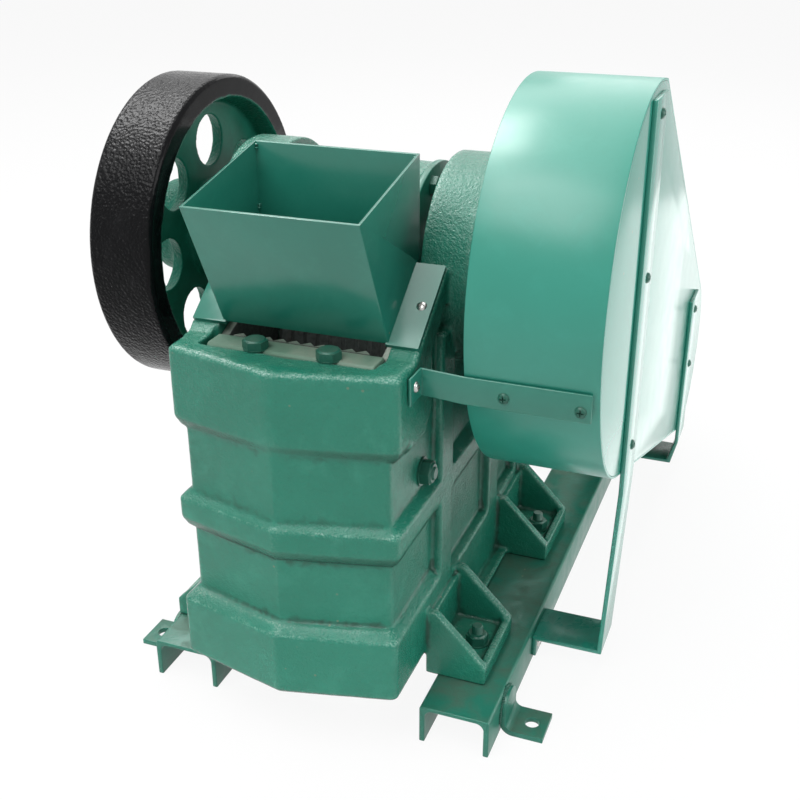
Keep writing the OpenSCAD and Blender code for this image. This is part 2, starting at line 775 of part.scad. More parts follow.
module shaft() {
    color([0.60, 0.61, 0.62]) union() {
        disc_x(fly_x - fly_w - shaft_end, pulley_x + pulley_w + shaft_end, shaft_r);
        disc_x(body_x - jaw_hw - 1, body_x + jaw_hw + 1, crank_r);
    }
}

// flywheel section: thick rim, thin web, long hub
module flywheel() {
    c = fly_x - fly_w / 2;
    w = fly_w / 2;
    t = fly_web / 2;
    ri = fly_r - fly_rim;
    color([0.10, 0.11, 0.11]) difference() {
        translate([c, 0, 0]) turn_x() polygon([[shaft_r, -w], [fly_hub, -w], [fly_hub + 4, -t],
            [ri - 4, -t], [ri, -w], [fly_r - fly_bevel, -w], [fly_r, -w + fly_bevel],
            [fly_r, w - fly_bevel], [fly_r - fly_bevel, w], [ri, w], [ri - 4, t], [fly_hub + 4, t],
            [fly_hub, w], [shaft_r, w]]);
        for (i = [0:fly_holes - 1]) disc_x(c - fly_web, c + fly_web, fly_hole_r,
            shaft_y + fly_hole_pcd_r * cos(fly_phase + 360 / fly_holes * i),
            shaft_z + fly_hole_pcd_r * sin(fly_phase + 360 / fly_holes * i));
    }
}

// drive pulley section: wide belt groove, web and hub
module drive_pulley() {
    w = pulley_w / 2;
    t = pulley_web / 2;
    g = belt_w / 2 + belt_clear;
    ri = pulley_r - pulley_rim;
    rg = belt_r1 - belt_clear;
    color([0.28, 0.29, 0.29]) translate([pulley_x + w, 0, 0]) turn_x()
        polygon([[shaft_r, -w], [pulley_hub, -w], [pulley_hub, -t], [ri, -t], [ri, -w], [pulley_r, -w],
            [pulley_r, -g], [rg, -g], [rg, g], [pulley_r, g], [pulley_r, w], [ri, w], [ri, t],
            [pulley_hub, t], [pulley_hub, w], [shaft_r, w]]);
}

module belt() {
    color([0.06, 0.06, 0.06]) difference() {
        along_x(belt_x, belt_x + belt_w) belt_outline(belt_r1 + belt_t, pulley2_r + 1 + belt_t);
        along_x(belt_x - 1, belt_x + belt_w + 1) belt_outline(belt_r1, pulley2_r + 1);
    }
}

module motor_pulley() {
    f = (pulley_w - belt_w) / 2 - 2;
    rf = pulley2_r + pulley2_rim;
    x0 = motor_x + motor_len + bell_len;
    color([0.28, 0.29, 0.29]) translate([pulley_x, 0, 0]) turn_x(motor_y, motor_z)
        polygon([[0, x0 - pulley_x], [motor_shaft_r, x0 - pulley_x], [motor_shaft_r, 0], [rf, 0], [rf, f],
            [pulley2_r, f], [pulley2_r, pulley_w - f], [rf, pulley_w - f], [rf, pulley_w], [0, pulley_w]]);
}

// hopper of bent sheet: sides parallel, front wall leaning out, flanges on the frame shoulders
module hopper_side() {
    z0 = frame_top + hop_z0;
    along_x(hop_hw - hop_t, hop_hw) polygon([[hop_yf, hop_zf], [hop_yr, hop_zr], [hop_yr, z0 + hop_rise],
        [hop_y0, z0]]);
}

module hopper() {
    z0 = frame_top + hop_z0;
    l = band_hw - hop_flange_in;
    color([0.30, 0.52, 0.46]) translate([hop_x, 0, 0]) union() {
        hopper_side();
        mirror([1, 0, 0]) hopper_side();
        along_x(-hop_hw, hop_hw) polygon([[hop_yf, hop_zf], [hop_yf + hop_t * 1.2, hop_zf + 0.5],
            [hop_y0 + hop_t * 1.2, z0 + 1], [hop_y0, z0]]);
        along_x(-hop_hw, hop_hw) polygon([[hop_yr - hop_t, hop_zr - 0.5], [hop_yr, hop_zr],
            [hop_yr, z0 + hop_rise + 1], [hop_yr - hop_t, z0 + hop_rise]]);
        for (e = [[hop_hw - hop_t, l - hop_off], [-l - hop_off, hop_t - hop_hw]]) along_x(e[0], e[1])
            polygon([[hop_y0, z0 - 3], [hop_y0 - 2, z0], [hop_yr - 7, z0 + hop_rise],
                [hop_yr - 5, z0 + hop_rise - 3]]);
    }
}

module guard_rim() {
    color([0.62, 0.80, 0.75]) difference() {
        along_x(guard_x0, guard_x1) guard_outline(guard_r, guard_r2);
        along_x(guard_x0 - 1, guard_x1 + 1) guard_outline(guard_r - guard_t, guard_r2 - guard_t);
    }
}

module guard_face() {
    color([0.72, 0.86, 0.82]) along_x(guard_x1 - guard_t, guard_x1)
        guard_outline(guard_r - guard_t, guard_r2 - guard_t);
}

// bracket of bent sheet: tab on the frame side, short run forward, strip along the front of the guard
module guard_bracket() {
    dz = guard_z - strip_z - strip_w / 2;
    y1 = shaft_y - sqrt(pow(guard_r, 2) - pow(dz, 2)) - 0.3;
    yb = y1 + strip_set;
    x0 = body_x + band_hw + 0.8;
    x1 = guard_x1 - 5;
    t = bracket_t;
    color([0.30, 0.55, 0.48]) translate([0, 0, strip_z - strip_w / 2]) linear_extrude(height = strip_w)
        polygon([[x0, y1 - strip_tab], [x0 + t, y1 - strip_tab], [x0 + t, yb - t], [guard_x0, y1 - t],
            [x1, y1 - t], [x1, y1], [guard_x0, y1], [x0, yb]]);
}

// guard leg: flat bar down the guard face, inward at the foot, tab on the rail flange
module leg_at(y, z1) {
    zb = max(guard_low(y + leg_w / 2), motor_z - guard_r2) - 2;
    zf = rail_h - leg_drop;
    xf = guard_x1 - leg_in;
    color([0.35, 0.60, 0.53]) along_y(y - leg_w / 2, y + leg_w / 2)
        polygon([[guard_x1, z1], [guard_x1 + strip_t, z1], [guard_x1 + strip_t, zb],
            [xf + strip_t, zf - strip_t], [rail_out + strip_t, zf - strip_t],
            [rail_out + strip_t, zf - leg_tab], [rail_out, zf - leg_tab], [rail_out, zf], [xf, zf],
            [guard_x1, zb]]);
}

module guard_leg() { leg_at(shaft_y - leg_front, guard_z + guard_r - leg_top); }
module guard_leg_rear() { leg_at(motor_y - leg_rear, motor_z + leg_rear_top); }

// motor base: sheet bridge across both rails with turned-down edges
module motor_base() {
    x0 = -rail_out + 8;
    l = guard_x0 - 5 - x0;
    color([0.16, 0.36, 0.30]) translate([x0, motor_y - motor_base_w / 2, rail_h]) difference() {
        cube([l, motor_base_w, motor_base_h]);
        translate([-1, motor_base_t, -1])
            cube([l + 2, motor_base_w - 2 * motor_base_t, motor_base_h - motor_base_t + 1]);
    }
}

// motor: finned barrel, end bell and cast feet
module motor_body() {
    zb = rail_h + motor_base_h;
    color([0.30, 0.42, 0.42]) union() {
        disc_x(motor_x, motor_x + motor_len, fin_r, motor_y, motor_z);
        for (i = [0:fins - 1]) translate([motor_x + 6, motor_y, motor_z])
            rotate([360 / fins * (i + 0.5), 0, 0]) translate([0, fin_r - 2, -fin_t / 2])
            cube([motor_len - 12, fin_h + 2, fin_t]);
        turn_x(motor_y, motor_z) polygon([[0, motor_x + motor_len - eps],
            [motor_r - 2, motor_x + motor_len - eps], [motor_r - 2, motor_x + motor_len + 8],
            [motor_r - 26, motor_x + motor_len + bell_len - 4],
            [motor_shaft_r + 12, motor_x + motor_len + bell_len], [0, motor_x + motor_len + bell_len]]);
        for (s = [-1, 1]) translate([motor_x + 24, motor_y + s * mfoot_pitch / 2 - mfoot_w / 2, zb])
            cube([motor_len - 48, mfoot_w, mfoot_t]);
        for (s = [-1, 1], x = [motor_x + 24, motor_x + motor_len - 40]) along_x(x, x + 16)
            polygon([[motor_y + s * (mfoot_pitch / 2 + 8), zb + mfoot_t - eps],
                [motor_y + s * (mfoot_pitch / 2 - 4), motor_z - 40], [motor_y + s * 30, motor_z - 40],
                [motor_y + s * 30, zb + mfoot_t - eps]]);
    }
}

// fan cowl with a ring of air slots in its end
module motor_cowl() {
    color([0.26, 0.38, 0.38]) difference() {
        turn_x(motor_y, motor_z) polygon([[0, cowl_end], [cowl_r, cowl_end], [motor_r - 4, cowl_end + 10],
            [motor_r - 1, motor_x], [0, motor_x]]);
        for (i = [0:cowl_slots - 1]) translate([cowl_end - 1, motor_y, motor_z])
            rotate([360 / cowl_slots * i, 0, 0]) translate([0, cowl_eye, -cowl_slot / 2])
            cube([cowl_depth + 1, cowl_r - 6 - cowl_eye, cowl_slot]);
    }
}

// terminal box seated on the fins, with a stepped lid and a closed cable gland
module terminal_box() {
    x0 = motor_x + motor_len / 2 - box_w / 2;
    z0 = motor_z + motor_r;
    color([0.28, 0.40, 0.40]) difference() {
        union() {
            translate([x0, motor_y - box_l / 2, z0 - 18]) cube([box_w, box_l, box_h + 8]);
            translate([x0 - 3, motor_y - box_l / 2 - 3, z0 + box_h - 12]) cube([box_w + 6, box_l + 6, 12]);
            disc_x(x0 - gland_len, x0 + 1, gland_r, motor_y, z0 + 8);
        }
        disc_x(motor_x, motor_x + motor_len, motor_r + fit_gap, motor_y, motor_z);
    }
}

place() rail(-1);  // rail_left
place() rail(1);  // rail_right
place() lug(-1, lug_end);  // lug_front_left
place() lug(1, lug_end);  // lug_front_right
place() lug(-1, rail_len - lug_end);  // lug_rear_left
place() lug(1, rail_len - lug_end);  // lug_rear_right
place() frame_front();
place() frame_left();
place() frame_right();
place() frame_rear();
place() foot_at(-1, foot_front_y);  // foot_front_left
place() foot_at(1, foot_front_y);  // foot_front_right
place() foot_at(-1, foot_rear_y);  // foot_rear_left
place() foot_at(1, foot_rear_y);  // foot_rear_right
place() bearing(-1);  // bearing_left
place() bearing(1);  // bearing_right
place() cover(-1);  // cover_left
place() cover(1);  // cover_right
place() fixed_jaw();
place() clamp_bar();
place() cheek(-1);  // cheek_left
place() cheek(1);  // cheek_right
place() toggle_seat();
place() toggle_plate();
place() tension_spring();
place() hopper();
place() guard_rim();
place() guard_face();
place() guard_bracket();
place() guard_leg();
place() guard_leg_rear();
place() belt();
place() motor_base();
place() motor_body();
place() motor_cowl();
place() terminal_box();
place() motor_pulley();
place() shaft();
place() flywheel();
place() drive_pulley();
place() swing_jaw();
place() swing_plate();
place() jaw_cap(-1);  // jaw_cap_left
place() jaw_cap(1);  // jaw_cap_right
place() tension_rod();
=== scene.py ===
import bpy, bmesh, math
from mathutils import Matrix, Vector


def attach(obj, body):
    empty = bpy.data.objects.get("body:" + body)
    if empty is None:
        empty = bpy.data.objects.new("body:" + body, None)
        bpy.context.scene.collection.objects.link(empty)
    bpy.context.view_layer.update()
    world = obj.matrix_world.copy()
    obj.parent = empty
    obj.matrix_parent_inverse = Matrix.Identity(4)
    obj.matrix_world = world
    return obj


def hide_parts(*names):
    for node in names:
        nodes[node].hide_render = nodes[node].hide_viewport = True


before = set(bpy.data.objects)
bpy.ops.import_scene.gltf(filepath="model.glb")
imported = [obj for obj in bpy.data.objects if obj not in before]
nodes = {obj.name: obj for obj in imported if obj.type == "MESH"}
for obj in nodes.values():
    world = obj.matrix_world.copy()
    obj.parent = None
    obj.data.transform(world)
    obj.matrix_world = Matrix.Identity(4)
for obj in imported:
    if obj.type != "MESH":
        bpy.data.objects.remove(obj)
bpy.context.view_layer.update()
scene = bpy.context.scene

# places shared by several pieces, in millimetres

railHalf = 360.0  # half the rail length, the row origin lies midway
bodyX = -9.5  # the machine's middle
bandHw, recessHw, housingHw, jawHw = 99.5, 90.5, 117.0, 60.0  # half widths from there
shaftY, shaftZ = 180.0, 386.0
motorY = 610.0


def at(x, y, z):  # millimetres from the rails' front ends to row metres
    return Vector((x, y - railHalf, z)) / 1000


# camera

cameraSet = {
    "place": (0.3658, -1.0940, 0.6880), "yaw": 0.3673, "pitch": 0.4319, "roll": -0.0031,
    "lens": 51.216, "sensor": 36.0, "far": 30.0,
}


def makeCamera(s):
    data = bpy.data.cameras.new("viewCamera")
    data.lens = s["lens"]
    data.sensor_width = s["sensor"]
    data.clip_end = s["far"]
    cam = bpy.data.objects.new("viewCamera", data)
    turn = Matrix.Rotation(s["yaw"], 4, "Z") @ Matrix.Rotation(math.pi / 2 - s["pitch"], 4, "X")
    cam.matrix_world = Matrix.Translation(s["place"]) @ turn @ Matrix.Rotation(s["roll"], 4, "Z")
    scene.collection.objects.link(cam)
    scene.camera = cam


makeCamera(cameraSet)


# node helpers, shared by materials and geometry trees

def put(tree, kind, values=None, **props):
    node = tree.nodes.new(kind)
    for key, value in props.items():
        setattr(node, key, value)
    for key, value in (values or {}).items():
        socket = node.inputs[key]
        if isinstance(value, bpy.types.NodeSocket):
            tree.links.new(value, socket)
        else:
            socket.default_value = value
    return node


def calc(tree, operation, a, b=0.0, clamp=False):
    return put(tree, "ShaderNodeMath", {0: a, 1: b}, operation=operation, use_clamp=clamp).outputs[0]


def vectorCalc(tree, operation, *values):
    node = put(tree, "ShaderNodeVectorMath", dict(enumerate(values)), operation=operation)
    return node.outputs["Value" if operation in ("LENGTH", "DISTANCE") else "Vector"]


def span(tree, value, low, high, newLow=0.0, newHigh=1.0):
    limits = {"From Min": low, "From Max": high, "To Min": newLow, "To Max": newHigh}
    return put(tree, "ShaderNodeMapRange", {"Value": value, **limits}).outputs["Result"]


def blendColour(tree, share, a, b):
    node = put(tree, "ShaderNodeMix", data_type="RGBA", clamp_factor=True)
    for index, value in ((0, share), (6, a), (7, b)):
        if isinstance(value, bpy.types.NodeSocket):
            tree.links.new(value, node.inputs[index])
        else:
            node.inputs[index].default_value = (*value, 1.0) if index else value
    return node.outputs[2]


def grain(tree, coords, scale, detail=3.0, rough=0.55, warp=0.0):
    settings = {"Scale": scale, "Detail": detail, "Roughness": rough, "Distortion": warp}
    return put(tree, "ShaderNodeTexNoise", {"Vector": coords, **settings}).outputs["Fac"]


def cells(tree, coords, scale, feature="F1"):
    values = {"Vector": coords, "Scale": scale, "Randomness": 1.0}
    return put(tree, "ShaderNodeTexVoronoi", values, feature=feature).outputs["Distance"]


def facing(tree, coords, axis):  # share of the surface's normal along one axis
    return put(tree, "ShaderNodeSeparateXYZ", {0: coords.outputs["Normal"]}).outputs[axis]


def startMaterial(name):
    mat = bpy.data.materials.new(name)
    mat.use_nodes = True
    tree = mat.node_tree
    return mat, tree, tree.nodes["Principled BSDF"], put(tree, "ShaderNodeTexCoord")


def stackBumps(tree, layers):  # each layer: height socket, strength, distance in metres
    last = None
    for height, strength, distance in layers:
        node = put(tree, "ShaderNodeBump", {"Height": height, "Strength": strength, "Distance": distance})
        if last:
            tree.links.new(last, node.inputs["Normal"])
        last = node.outputs["Normal"]
    return last


# green enamel, one recipe for castings, sheet, rails, motor and painted fasteners
# lump and peel: grain scale, strength, depth in metres; ridge: reads the casting's own curvature for the
# painted edge highlight and painted shade

castingEnamel = {
    "name": "castingEnamel", "deep": (0.013, 0.165, 0.108), "body": (0.016, 0.196, 0.130),
    "pale": (0.030, 0.240, 0.164), "dustAndShade": (0.15, 0.20, 0.15), "dustAndShadeShare": 0.18, "gloss": (0.15, 0.24),
    "spec": 0.38, "lump": (60, 0.08, 0.0008), "peel": (640, 0.95, 0.0007), "pit": 0.30, "ridge": True,
}
clampEnamel = {
    "name": "clampEnamel", "deep": (0.110, 0.210, 0.150), "body": (0.160, 0.250, 0.190),
    "pale": (0.230, 0.290, 0.230), "dustAndShade": (0.30, 0.30, 0.25), "dustAndShadeShare": 0.45, "gloss": (0.42, 0.60),
    "spec": 0.35, "lump": (60, 0.20, 0.0008), "peel": (380, 0.35, 0.0006), "pit": 0.15, "ridge": False,
}
guardEnamel = {
    "name": "guardEnamel", "deep": (0.023, 0.245, 0.180), "body": (0.026, 0.262, 0.194),
    "pale": (0.030, 0.275, 0.206), "dustAndShade": (0.25, 0.29, 0.24), "dustAndShadeShare": 0.05, "gloss": (0.28, 0.34),
    "spec": 0.6, "lump": (10, 0.05, 0.0010), "peel": (520, 0.05, 0.0003), "pit": 0.01, "ridge": False,
}
# here the dust colour is a dark green: painted shade on the upward faces of the leg feet, which the guard
# shades
faceEnamel = {
    **guardEnamel, "name": "faceEnamel", "dustAndShade": (0.030, 0.120, 0.088), "dustAndShadeShare": 0.75,
    "gloss": (0.17, 0.21), "spec": 0.7, "lump": (6, 0.02, 0.0010), "peel": (520, 0.02, 0.0003),
}
hopperEnamel = {
    "name": "hopperEnamel", "deep": (0.017, 0.168, 0.120), "body": (0.020, 0.190, 0.137),
    "pale": (0.026, 0.206, 0.150), "dustAndShade": (0.22, 0.26, 0.21), "dustAndShadeShare": 0.08, "gloss": (0.17, 0.24),
    "spec": 0.6, "lump": (9, 0.05, 0.0010), "peel": (520, 0.025, 0.0003), "pit": 0.0, "ridge": False,
}
railEnamel = {
    "name": "railEnamel", "deep": (0.014, 0.148, 0.100), "body": (0.018, 0.180, 0.124),
    "pale": (0.032, 0.205, 0.150), "dustAndShade": (0.075, 0.095, 0.066), "dustAndShadeShare": 0.62, "gloss": (0.28, 0.42),
    "spec": 0.45, "lump": (60, 0.12, 0.0008), "peel": (380, 0.22, 0.0006), "pit": 0.10, "ridge": False,
}
boltEnamel = {
    "name": "boltEnamel", "deep": (0.010, 0.085, 0.058), "body": (0.014, 0.112, 0.076),
    "pale": (0.032, 0.150, 0.106), "dustAndShade": (0.11, 0.13, 0.095), "dustAndShadeShare": 0.35, "gloss": (0.30, 0.44),
    "spec": 0.4, "lump": (140, 0.30, 0.0005), "peel": (700, 0.30, 0.0004), "pit": 0.2, "ridge": False,
}
motorEnamel = {
    "name": "motorEnamel", "deep": (0.012, 0.095, 0.080), "body": (0.018, 0.130, 0.110),
    "pale": (0.034, 0.165, 0.145), "dustAndShade": (0.15, 0.15, 0.12), "dustAndShadeShare": 0.22, "gloss": (0.30, 0.44),
    "spec": 0.45, "lump": (60, 0.15, 0.0008), "peel": (420, 0.25, 0.0005), "pit": 0.12, "ridge": False,
}
enamelSets = (
    castingEnamel, clampEnamel, guardEnamel, faceEnamel,
    hopperEnamel, railEnamel, boltEnamel, motorEnamel,
)
# the first of these colours is a painted highlight for the upper cast edges, the second painted shade, the
# third chipped paint
wearAndPaintedLight = {"thin": (0.38, 0.62, 0.53), "paintedShade": (0.012, 0.036, 0.024), "chip": (0.16, 0.20, 0.13)}


def paintedEdgeLight(tree, place, colour, ridge, up, broad, patch):  # painted highlight on the upper cast edges, painted shade in corners and on undersides
    speckle = span(tree, grain(tree, place, 620.0, 2.0), 0.42, 0.62)
    paintedHighlight = calc(tree, "MULTIPLY", span(tree, ridge, 0.54, 0.61), speckle, True)
    paintedHighlight = calc(tree, "MULTIPLY", paintedHighlight, span(tree, up, 0.20, 0.65, 0.05, 0.42))  # painted highlight, most on the upper edges
    paintedHighlight = calc(tree, "MULTIPLY", paintedHighlight, span(tree, patch, 0.36, 0.56, 0.3, 1.0))
    colour = blendColour(tree, paintedHighlight, colour, wearAndPaintedLight["thin"])
    # painted shade in the corners, patchy, and on the undersides
    uneven = span(tree, broad, 0.30, 0.58, 0.1, 0.75)
    paintedShade = calc(tree, "MULTIPLY", span(tree, ridge, 0.465, 0.36), uneven, True)
    paintedShade = calc(tree, "MAXIMUM", paintedShade, span(tree, up, -0.15, -0.55, 0.0, 0.65))  # painted shade, darkest on the undersides
    return blendColour(tree, paintedShade, colour, wearAndPaintedLight["paintedShade"])


def sandMarks(tree, place):  # coarser bump layer round the bearing housings
    flat = vectorCalc(tree, "MULTIPLY", place, (0.0, 1.0, 1.0))
    reach = vectorCalc(tree, "DISTANCE", flat, at(0, shaftY, shaftZ))
    return grain(tree, place, 330.0, 2.0), span(tree, reach, 0.112, 0.096, 0.0, 0.55), 0.0012


def makeEnamel(s):
    mat, tree, shader, coords = startMaterial(s["name"])
    place = coords.outputs["Object"]
    up = facing(tree, coords, "Z")
    broad = grain(tree, place, 9.0, 4.0)
    patch = grain(tree, place, 38.0, 6.0, 0.62, 0.4)
    fine = grain(tree, place, 260.0, 3.0)
    colour = blendColour(tree, span(tree, broad, 0.36, 0.66), s["deep"], s["body"])
    colour = blendColour(tree, span(tree, patch, 0.52, 0.78, 0.0, 0.75), colour, s["pale"])
    colour = blendColour(tree, span(tree, fine, 0.52, 0.76, 0.0, 0.50), colour, s["deep"])
    if s["ridge"]:
        ridge = put(tree, "ShaderNodeAttribute", attribute_name="ridge").outputs["Fac"]
        colour = paintedEdgeLight(tree, place, colour, ridge, up, broad, patch)
    # dust on upward faces; the dark green of faceEnamel is painted shade
    lying = calc(tree, "MULTIPLY", span(tree, up, 0.75, 0.98), span(tree, patch, 0.38, 0.66), True)
    dustAndShade = calc(tree, "MULTIPLY", lying, s["dustAndShadeShare"])
    colour = blendColour(tree, dustAndShade, colour, s["dustAndShade"])
    chips = span(tree, cells(tree, place, 55.0), 0.075, 0.045)
    chipped = calc(tree, "MULTIPLY", chips, span(tree, broad, 0.56, 0.60), True)
    colour = blendColour(tree, calc(tree, "MULTIPLY", chipped, 0.6), colour, wearAndPaintedLight["chip"])
    tree.links.new(colour, shader.inputs["Base Color"])
    paintGloss = span(tree, patch, 0.35, 0.70, *s["gloss"])
    gloss = calc(tree, "ADD", paintGloss, calc(tree, "MULTIPLY", dustAndShade, 0.4), True)
    if s["ridge"]:  # paint flows smooth over the edges
        gloss = calc(tree, "SUBTRACT", gloss, span(tree, ridge, 0.53, 0.62, 0.0, 0.10), True)
    tree.links.new(gloss, shader.inputs["Roughness"])
    shader.inputs["IOR"].default_value = 1.5
    shader.inputs["Specular IOR Level"].default_value = s["spec"]
    lumpScale, lumpStrength, lumpDepth = s["lump"]
    peelScale, peelStrength, peelDepth = s["peel"]
    layers = [
        (grain(tree, place, lumpScale, 3.0), lumpStrength, lumpDepth),
        (cells(tree, place, peelScale * 0.55, "SMOOTH_F1"), s["pit"], peelDepth * 1.4),
        (grain(tree, place, peelScale, 2.0), peelStrength, peelDepth),
    ]
    if s["ridge"]:
        layers.append(sandMarks(tree, place))
    tree.links.new(stackBumps(tree, layers), shader.inputs["Normal"])
    return mat


enamel = {s["name"]: makeEnamel(s) for s in enamelSets}


# flywheel finish: black pebbled gloss on the rim, green inside it

wheelSet = {
    "rimInner": 0.1222, "edgeBlur": 0.0008, "wander": 0.005, "black": (0.004, 0.0042, 0.0048),
    "soot": (0.011, 0.011, 0.012), "green": (0.018, 0.190, 0.128), "deep": (0.012, 0.140, 0.092),
    "speck": (0.05, 0.055, 0.05), "spec": 0.10, "pebbleScale": 380.0, "sandScale": 640.0,
}


def makeWheelPaint(s):
    mat, tree, shader, coords = startMaterial("flywheelPaint")
    place = coords.outputs["Object"]
    moved = vectorCalc(tree, "SUBTRACT", place, at(0, shaftY, shaftZ))
    radius = vectorCalc(tree, "LENGTH", vectorCalc(tree, "MULTIPLY", moved, (0.0, 1.0, 1.0)))
    wander = calc(tree, "MULTIPLY", calc(tree, "SUBTRACT", grain(tree, place, 55.0, 4.0), 0.5), s["wander"])
    inner, blur = s["rimInner"], s["edgeBlur"]
    onRim = span(tree, calc(tree, "ADD", radius, wander), inner - blur, inner + blur)
    patch = grain(tree, place, 45.0, 5.0, 0.6)
    fine = grain(tree, place, 300.0, 3.0)
    black = blendColour(tree, span(tree, patch, 0.50, 0.80, 0.0, 0.8), s["black"], s["soot"])
    green = blendColour(tree, span(tree, patch, 0.35, 0.70), s["deep"], s["green"])
    colour = blendColour(tree, onRim, green, black)
    colour = blendColour(tree, span(tree, fine, 0.66, 0.80, 0.0, 0.3), colour, s["speck"])
    tree.links.new(colour, shader.inputs["Base Color"])
    gloss = span(tree, patch, 0.35, 0.70, 0.34, 0.40)
    gloss = calc(tree, "SUBTRACT", gloss, calc(tree, "MULTIPLY", onRim, 0.25))  # the rim shines more
    tree.links.new(gloss, shader.inputs["Roughness"])
    shader.inputs["Specular IOR Level"].default_value = s["spec"]
    sideways = calc(tree, "ABSOLUTE", facing(tree, coords, "X"))
    rolled = span(tree, sideways, 0.75, 0.35)  # pebbles on the rolling face only
    pebbles = cells(tree, place, s["pebbleScale"], "SMOOTH_F1")
    sandStrength = calc(tree, "ADD", calc(tree, "MULTIPLY", rolled, 0.5), 0.05)
    layers = [
        (pebbles, calc(tree, "MULTIPLY", rolled, 0.85), 0.0010),
        (grain(tree, place, s["sandScale"], 2.0), sandStrength, 0.0006),
    ]
    tree.links.new(stackBumps(tree, layers), shader.inputs["Normal"])
    return mat


wheelPaint = makeWheelPaint(wheelSet)


# metals and rubber

metalSets = {
    "shaftSteel": {
        "a": (0.42, 0.43, 0.44), "b": (0.26, 0.26, 0.26), "rust": (0.16, 0.075, 0.03), "rustShare": 0.25,
        "metal": 1.0, "rough": (0.22, 0.45), "stretch": (900, 60, 60), "bump": 0.25, "dustAndShadeShare": 0.0,
    },
    "screwSteel": {
        "a": (0.62, 0.62, 0.60), "b": (0.40, 0.40, 0.38), "rust": (0.20, 0.11, 0.05), "rustShare": 0.18,
        "metal": 1.0, "rough": (0.18, 0.34), "stretch": (300, 300, 300), "bump": 0.15, "dustAndShadeShare": 0.0,
    },
    "jawSteel": {
        "a": (0.042, 0.050, 0.046), "b": (0.020, 0.025, 0.023), "rust": (0.045, 0.031, 0.021),
        "rustShare": 0.35, "metal": 0.3, "rough": (0.48, 0.70), "stretch": (220, 220, 220), "bump": 0.5,
        "dustAndShadeShare": 0.85,
    },
    "pulleyIron": {
        "a": (0.22, 0.23, 0.23), "b": (0.12, 0.12, 0.12), "rust": (0.13, 0.07, 0.035), "rustShare": 0.35,
        "metal": 0.85, "rough": (0.34, 0.56), "stretch": (700, 80, 80), "bump": 0.4, "dustAndShadeShare": 0.0,
    },
}
stoneDust = (0.27, 0.33, 0.27)


def makeMetal(name, s):
    mat, tree, shader, coords = startMaterial(name)
    place = coords.outputs["Object"]
    drawn = put(tree, "ShaderNodeMapping", {"Vector": place, "Scale": s["stretch"]}).outputs[0]
    lines = grain(tree, drawn, 1.0, 4.0)
    patch = grain(tree, place, 60.0, 5.0, 0.6)
    colour = blendColour(tree, span(tree, lines, 0.35, 0.68), s["a"], s["b"])
    rust = calc(tree, "MULTIPLY", span(tree, patch, 0.54, 0.70), s["rustShare"])
    colour = blendColour(tree, rust, colour, s["rust"])
    lying = span(tree, facing(tree, coords, "Z"), 0.80, 0.97)
    colour = blendColour(tree, calc(tree, "MULTIPLY", lying, s["dustAndShadeShare"]), colour, stoneDust)
    tree.links.new(colour, shader.inputs["Base Color"])
    shader.inputs["Metallic"].default_value = s["metal"]
    bare = span(tree, lines, 0.30, 0.70, *s["rough"])
    rough = calc(tree, "ADD", bare, calc(tree, "MULTIPLY", rust, 0.6), True)
    tree.links.new(rough, shader.inputs["Roughness"])
    layers = [(patch, s["bump"], 0.0008), (lines, s["bump"], 0.0003)]
    tree.links.new(stackBumps(tree, layers), shader.inputs["Normal"])
    return mat


metal = {name: makeMetal(name, s) for name, s in metalSets.items()}

rubberSet = {"black": (0.012, 0.012, 0.013), "paintedHighlight": (0.060, 0.058, 0.054), "weaveScale": 320.0}


def makeRubber(s):
    mat, tree, shader, coords = startMaterial("beltRubber")
    place = coords.outputs["Object"]
    patch = grain(tree, place, 70.0, 5.0)
    values = {"Vector": place, "Scale": s["weaveScale"], "Distortion": 1.5, "Detail": 2.0}
    weave = put(tree, "ShaderNodeTexWave", values, bands_direction="X").outputs["Fac"]
    colour = blendColour(tree, span(tree, patch, 0.40, 0.75), s["black"], s["paintedHighlight"])
    tree.links.new(colour, shader.inputs["Base Color"])
    tree.links.new(span(tree, patch, 0.3, 0.7, 0.55, 0.80), shader.inputs["Roughness"])
    layers = [(weave, 0.3, 0.0003), (patch, 0.3, 0.0006)]
    tree.links.new(stackBumps(tree, layers), shader.inputs["Normal"])
    return mat


rubber = makeRubber(rubberSet)
print("materials made", len(bpy.data.materials))


# mesh helpers

def newPiece(name, mesh, body, material, *stands):
    piece = bpy.data.objects.new(name, mesh)
    scene.collection.objects.link(piece)
    mesh.materials.clear()
    mesh.materials.append(material)
    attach(piece, body)
    if stands:
        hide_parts(*stands)
    return piece


def meshFrom(work, name):  # finished bmesh to a mesh
    mesh = bpy.data.meshes.new(name)
    work.to_mesh(mesh)
    work.free()
    return mesh


def mergedMesh(names, keepAngle=0.6):  # merged copy of one or more solids, coplanar triangles joined
    work = bmesh.new()
    for name in names:
        part = bmesh.new()
        part.from_mesh(nodes[name].data)
        bmesh.ops.remove_doubles(part, verts=part.verts, dist=2e-6)
        if keepAngle:
            limit = math.radians(keepAngle)
            bmesh.ops.dissolve_limit(part, angle_limit=limit, verts=part.verts, edges=part.edges)
        part.normal_update()
        mesh = meshFrom(part, "part")
        work.from_mesh(mesh)
        bpy.data.meshes.remove(mesh)
    return meshFrom(work, "merged")


def evaluated(piece):
    bpy.context.view_layer.update()
    graph = bpy.context.evaluated_depsgraph_get()
    return bpy.data.meshes.new_from_object(piece.evaluated_get(graph))


def bake(piece):  # modifiers to a plain mesh
    mesh = evaluated(piece)
    piece.modifiers.clear()
    old = piece.data
    piece.data = mesh
    bpy.data.meshes.remove(old)
    return mesh


def smoothMesh(mesh, angle):
    mesh.polygons.foreach_set("use_smooth", [True] * len(mesh.polygons))
    if angle < 179:
        mesh.set_sharp_from_angle(angle=math.radians(angle))


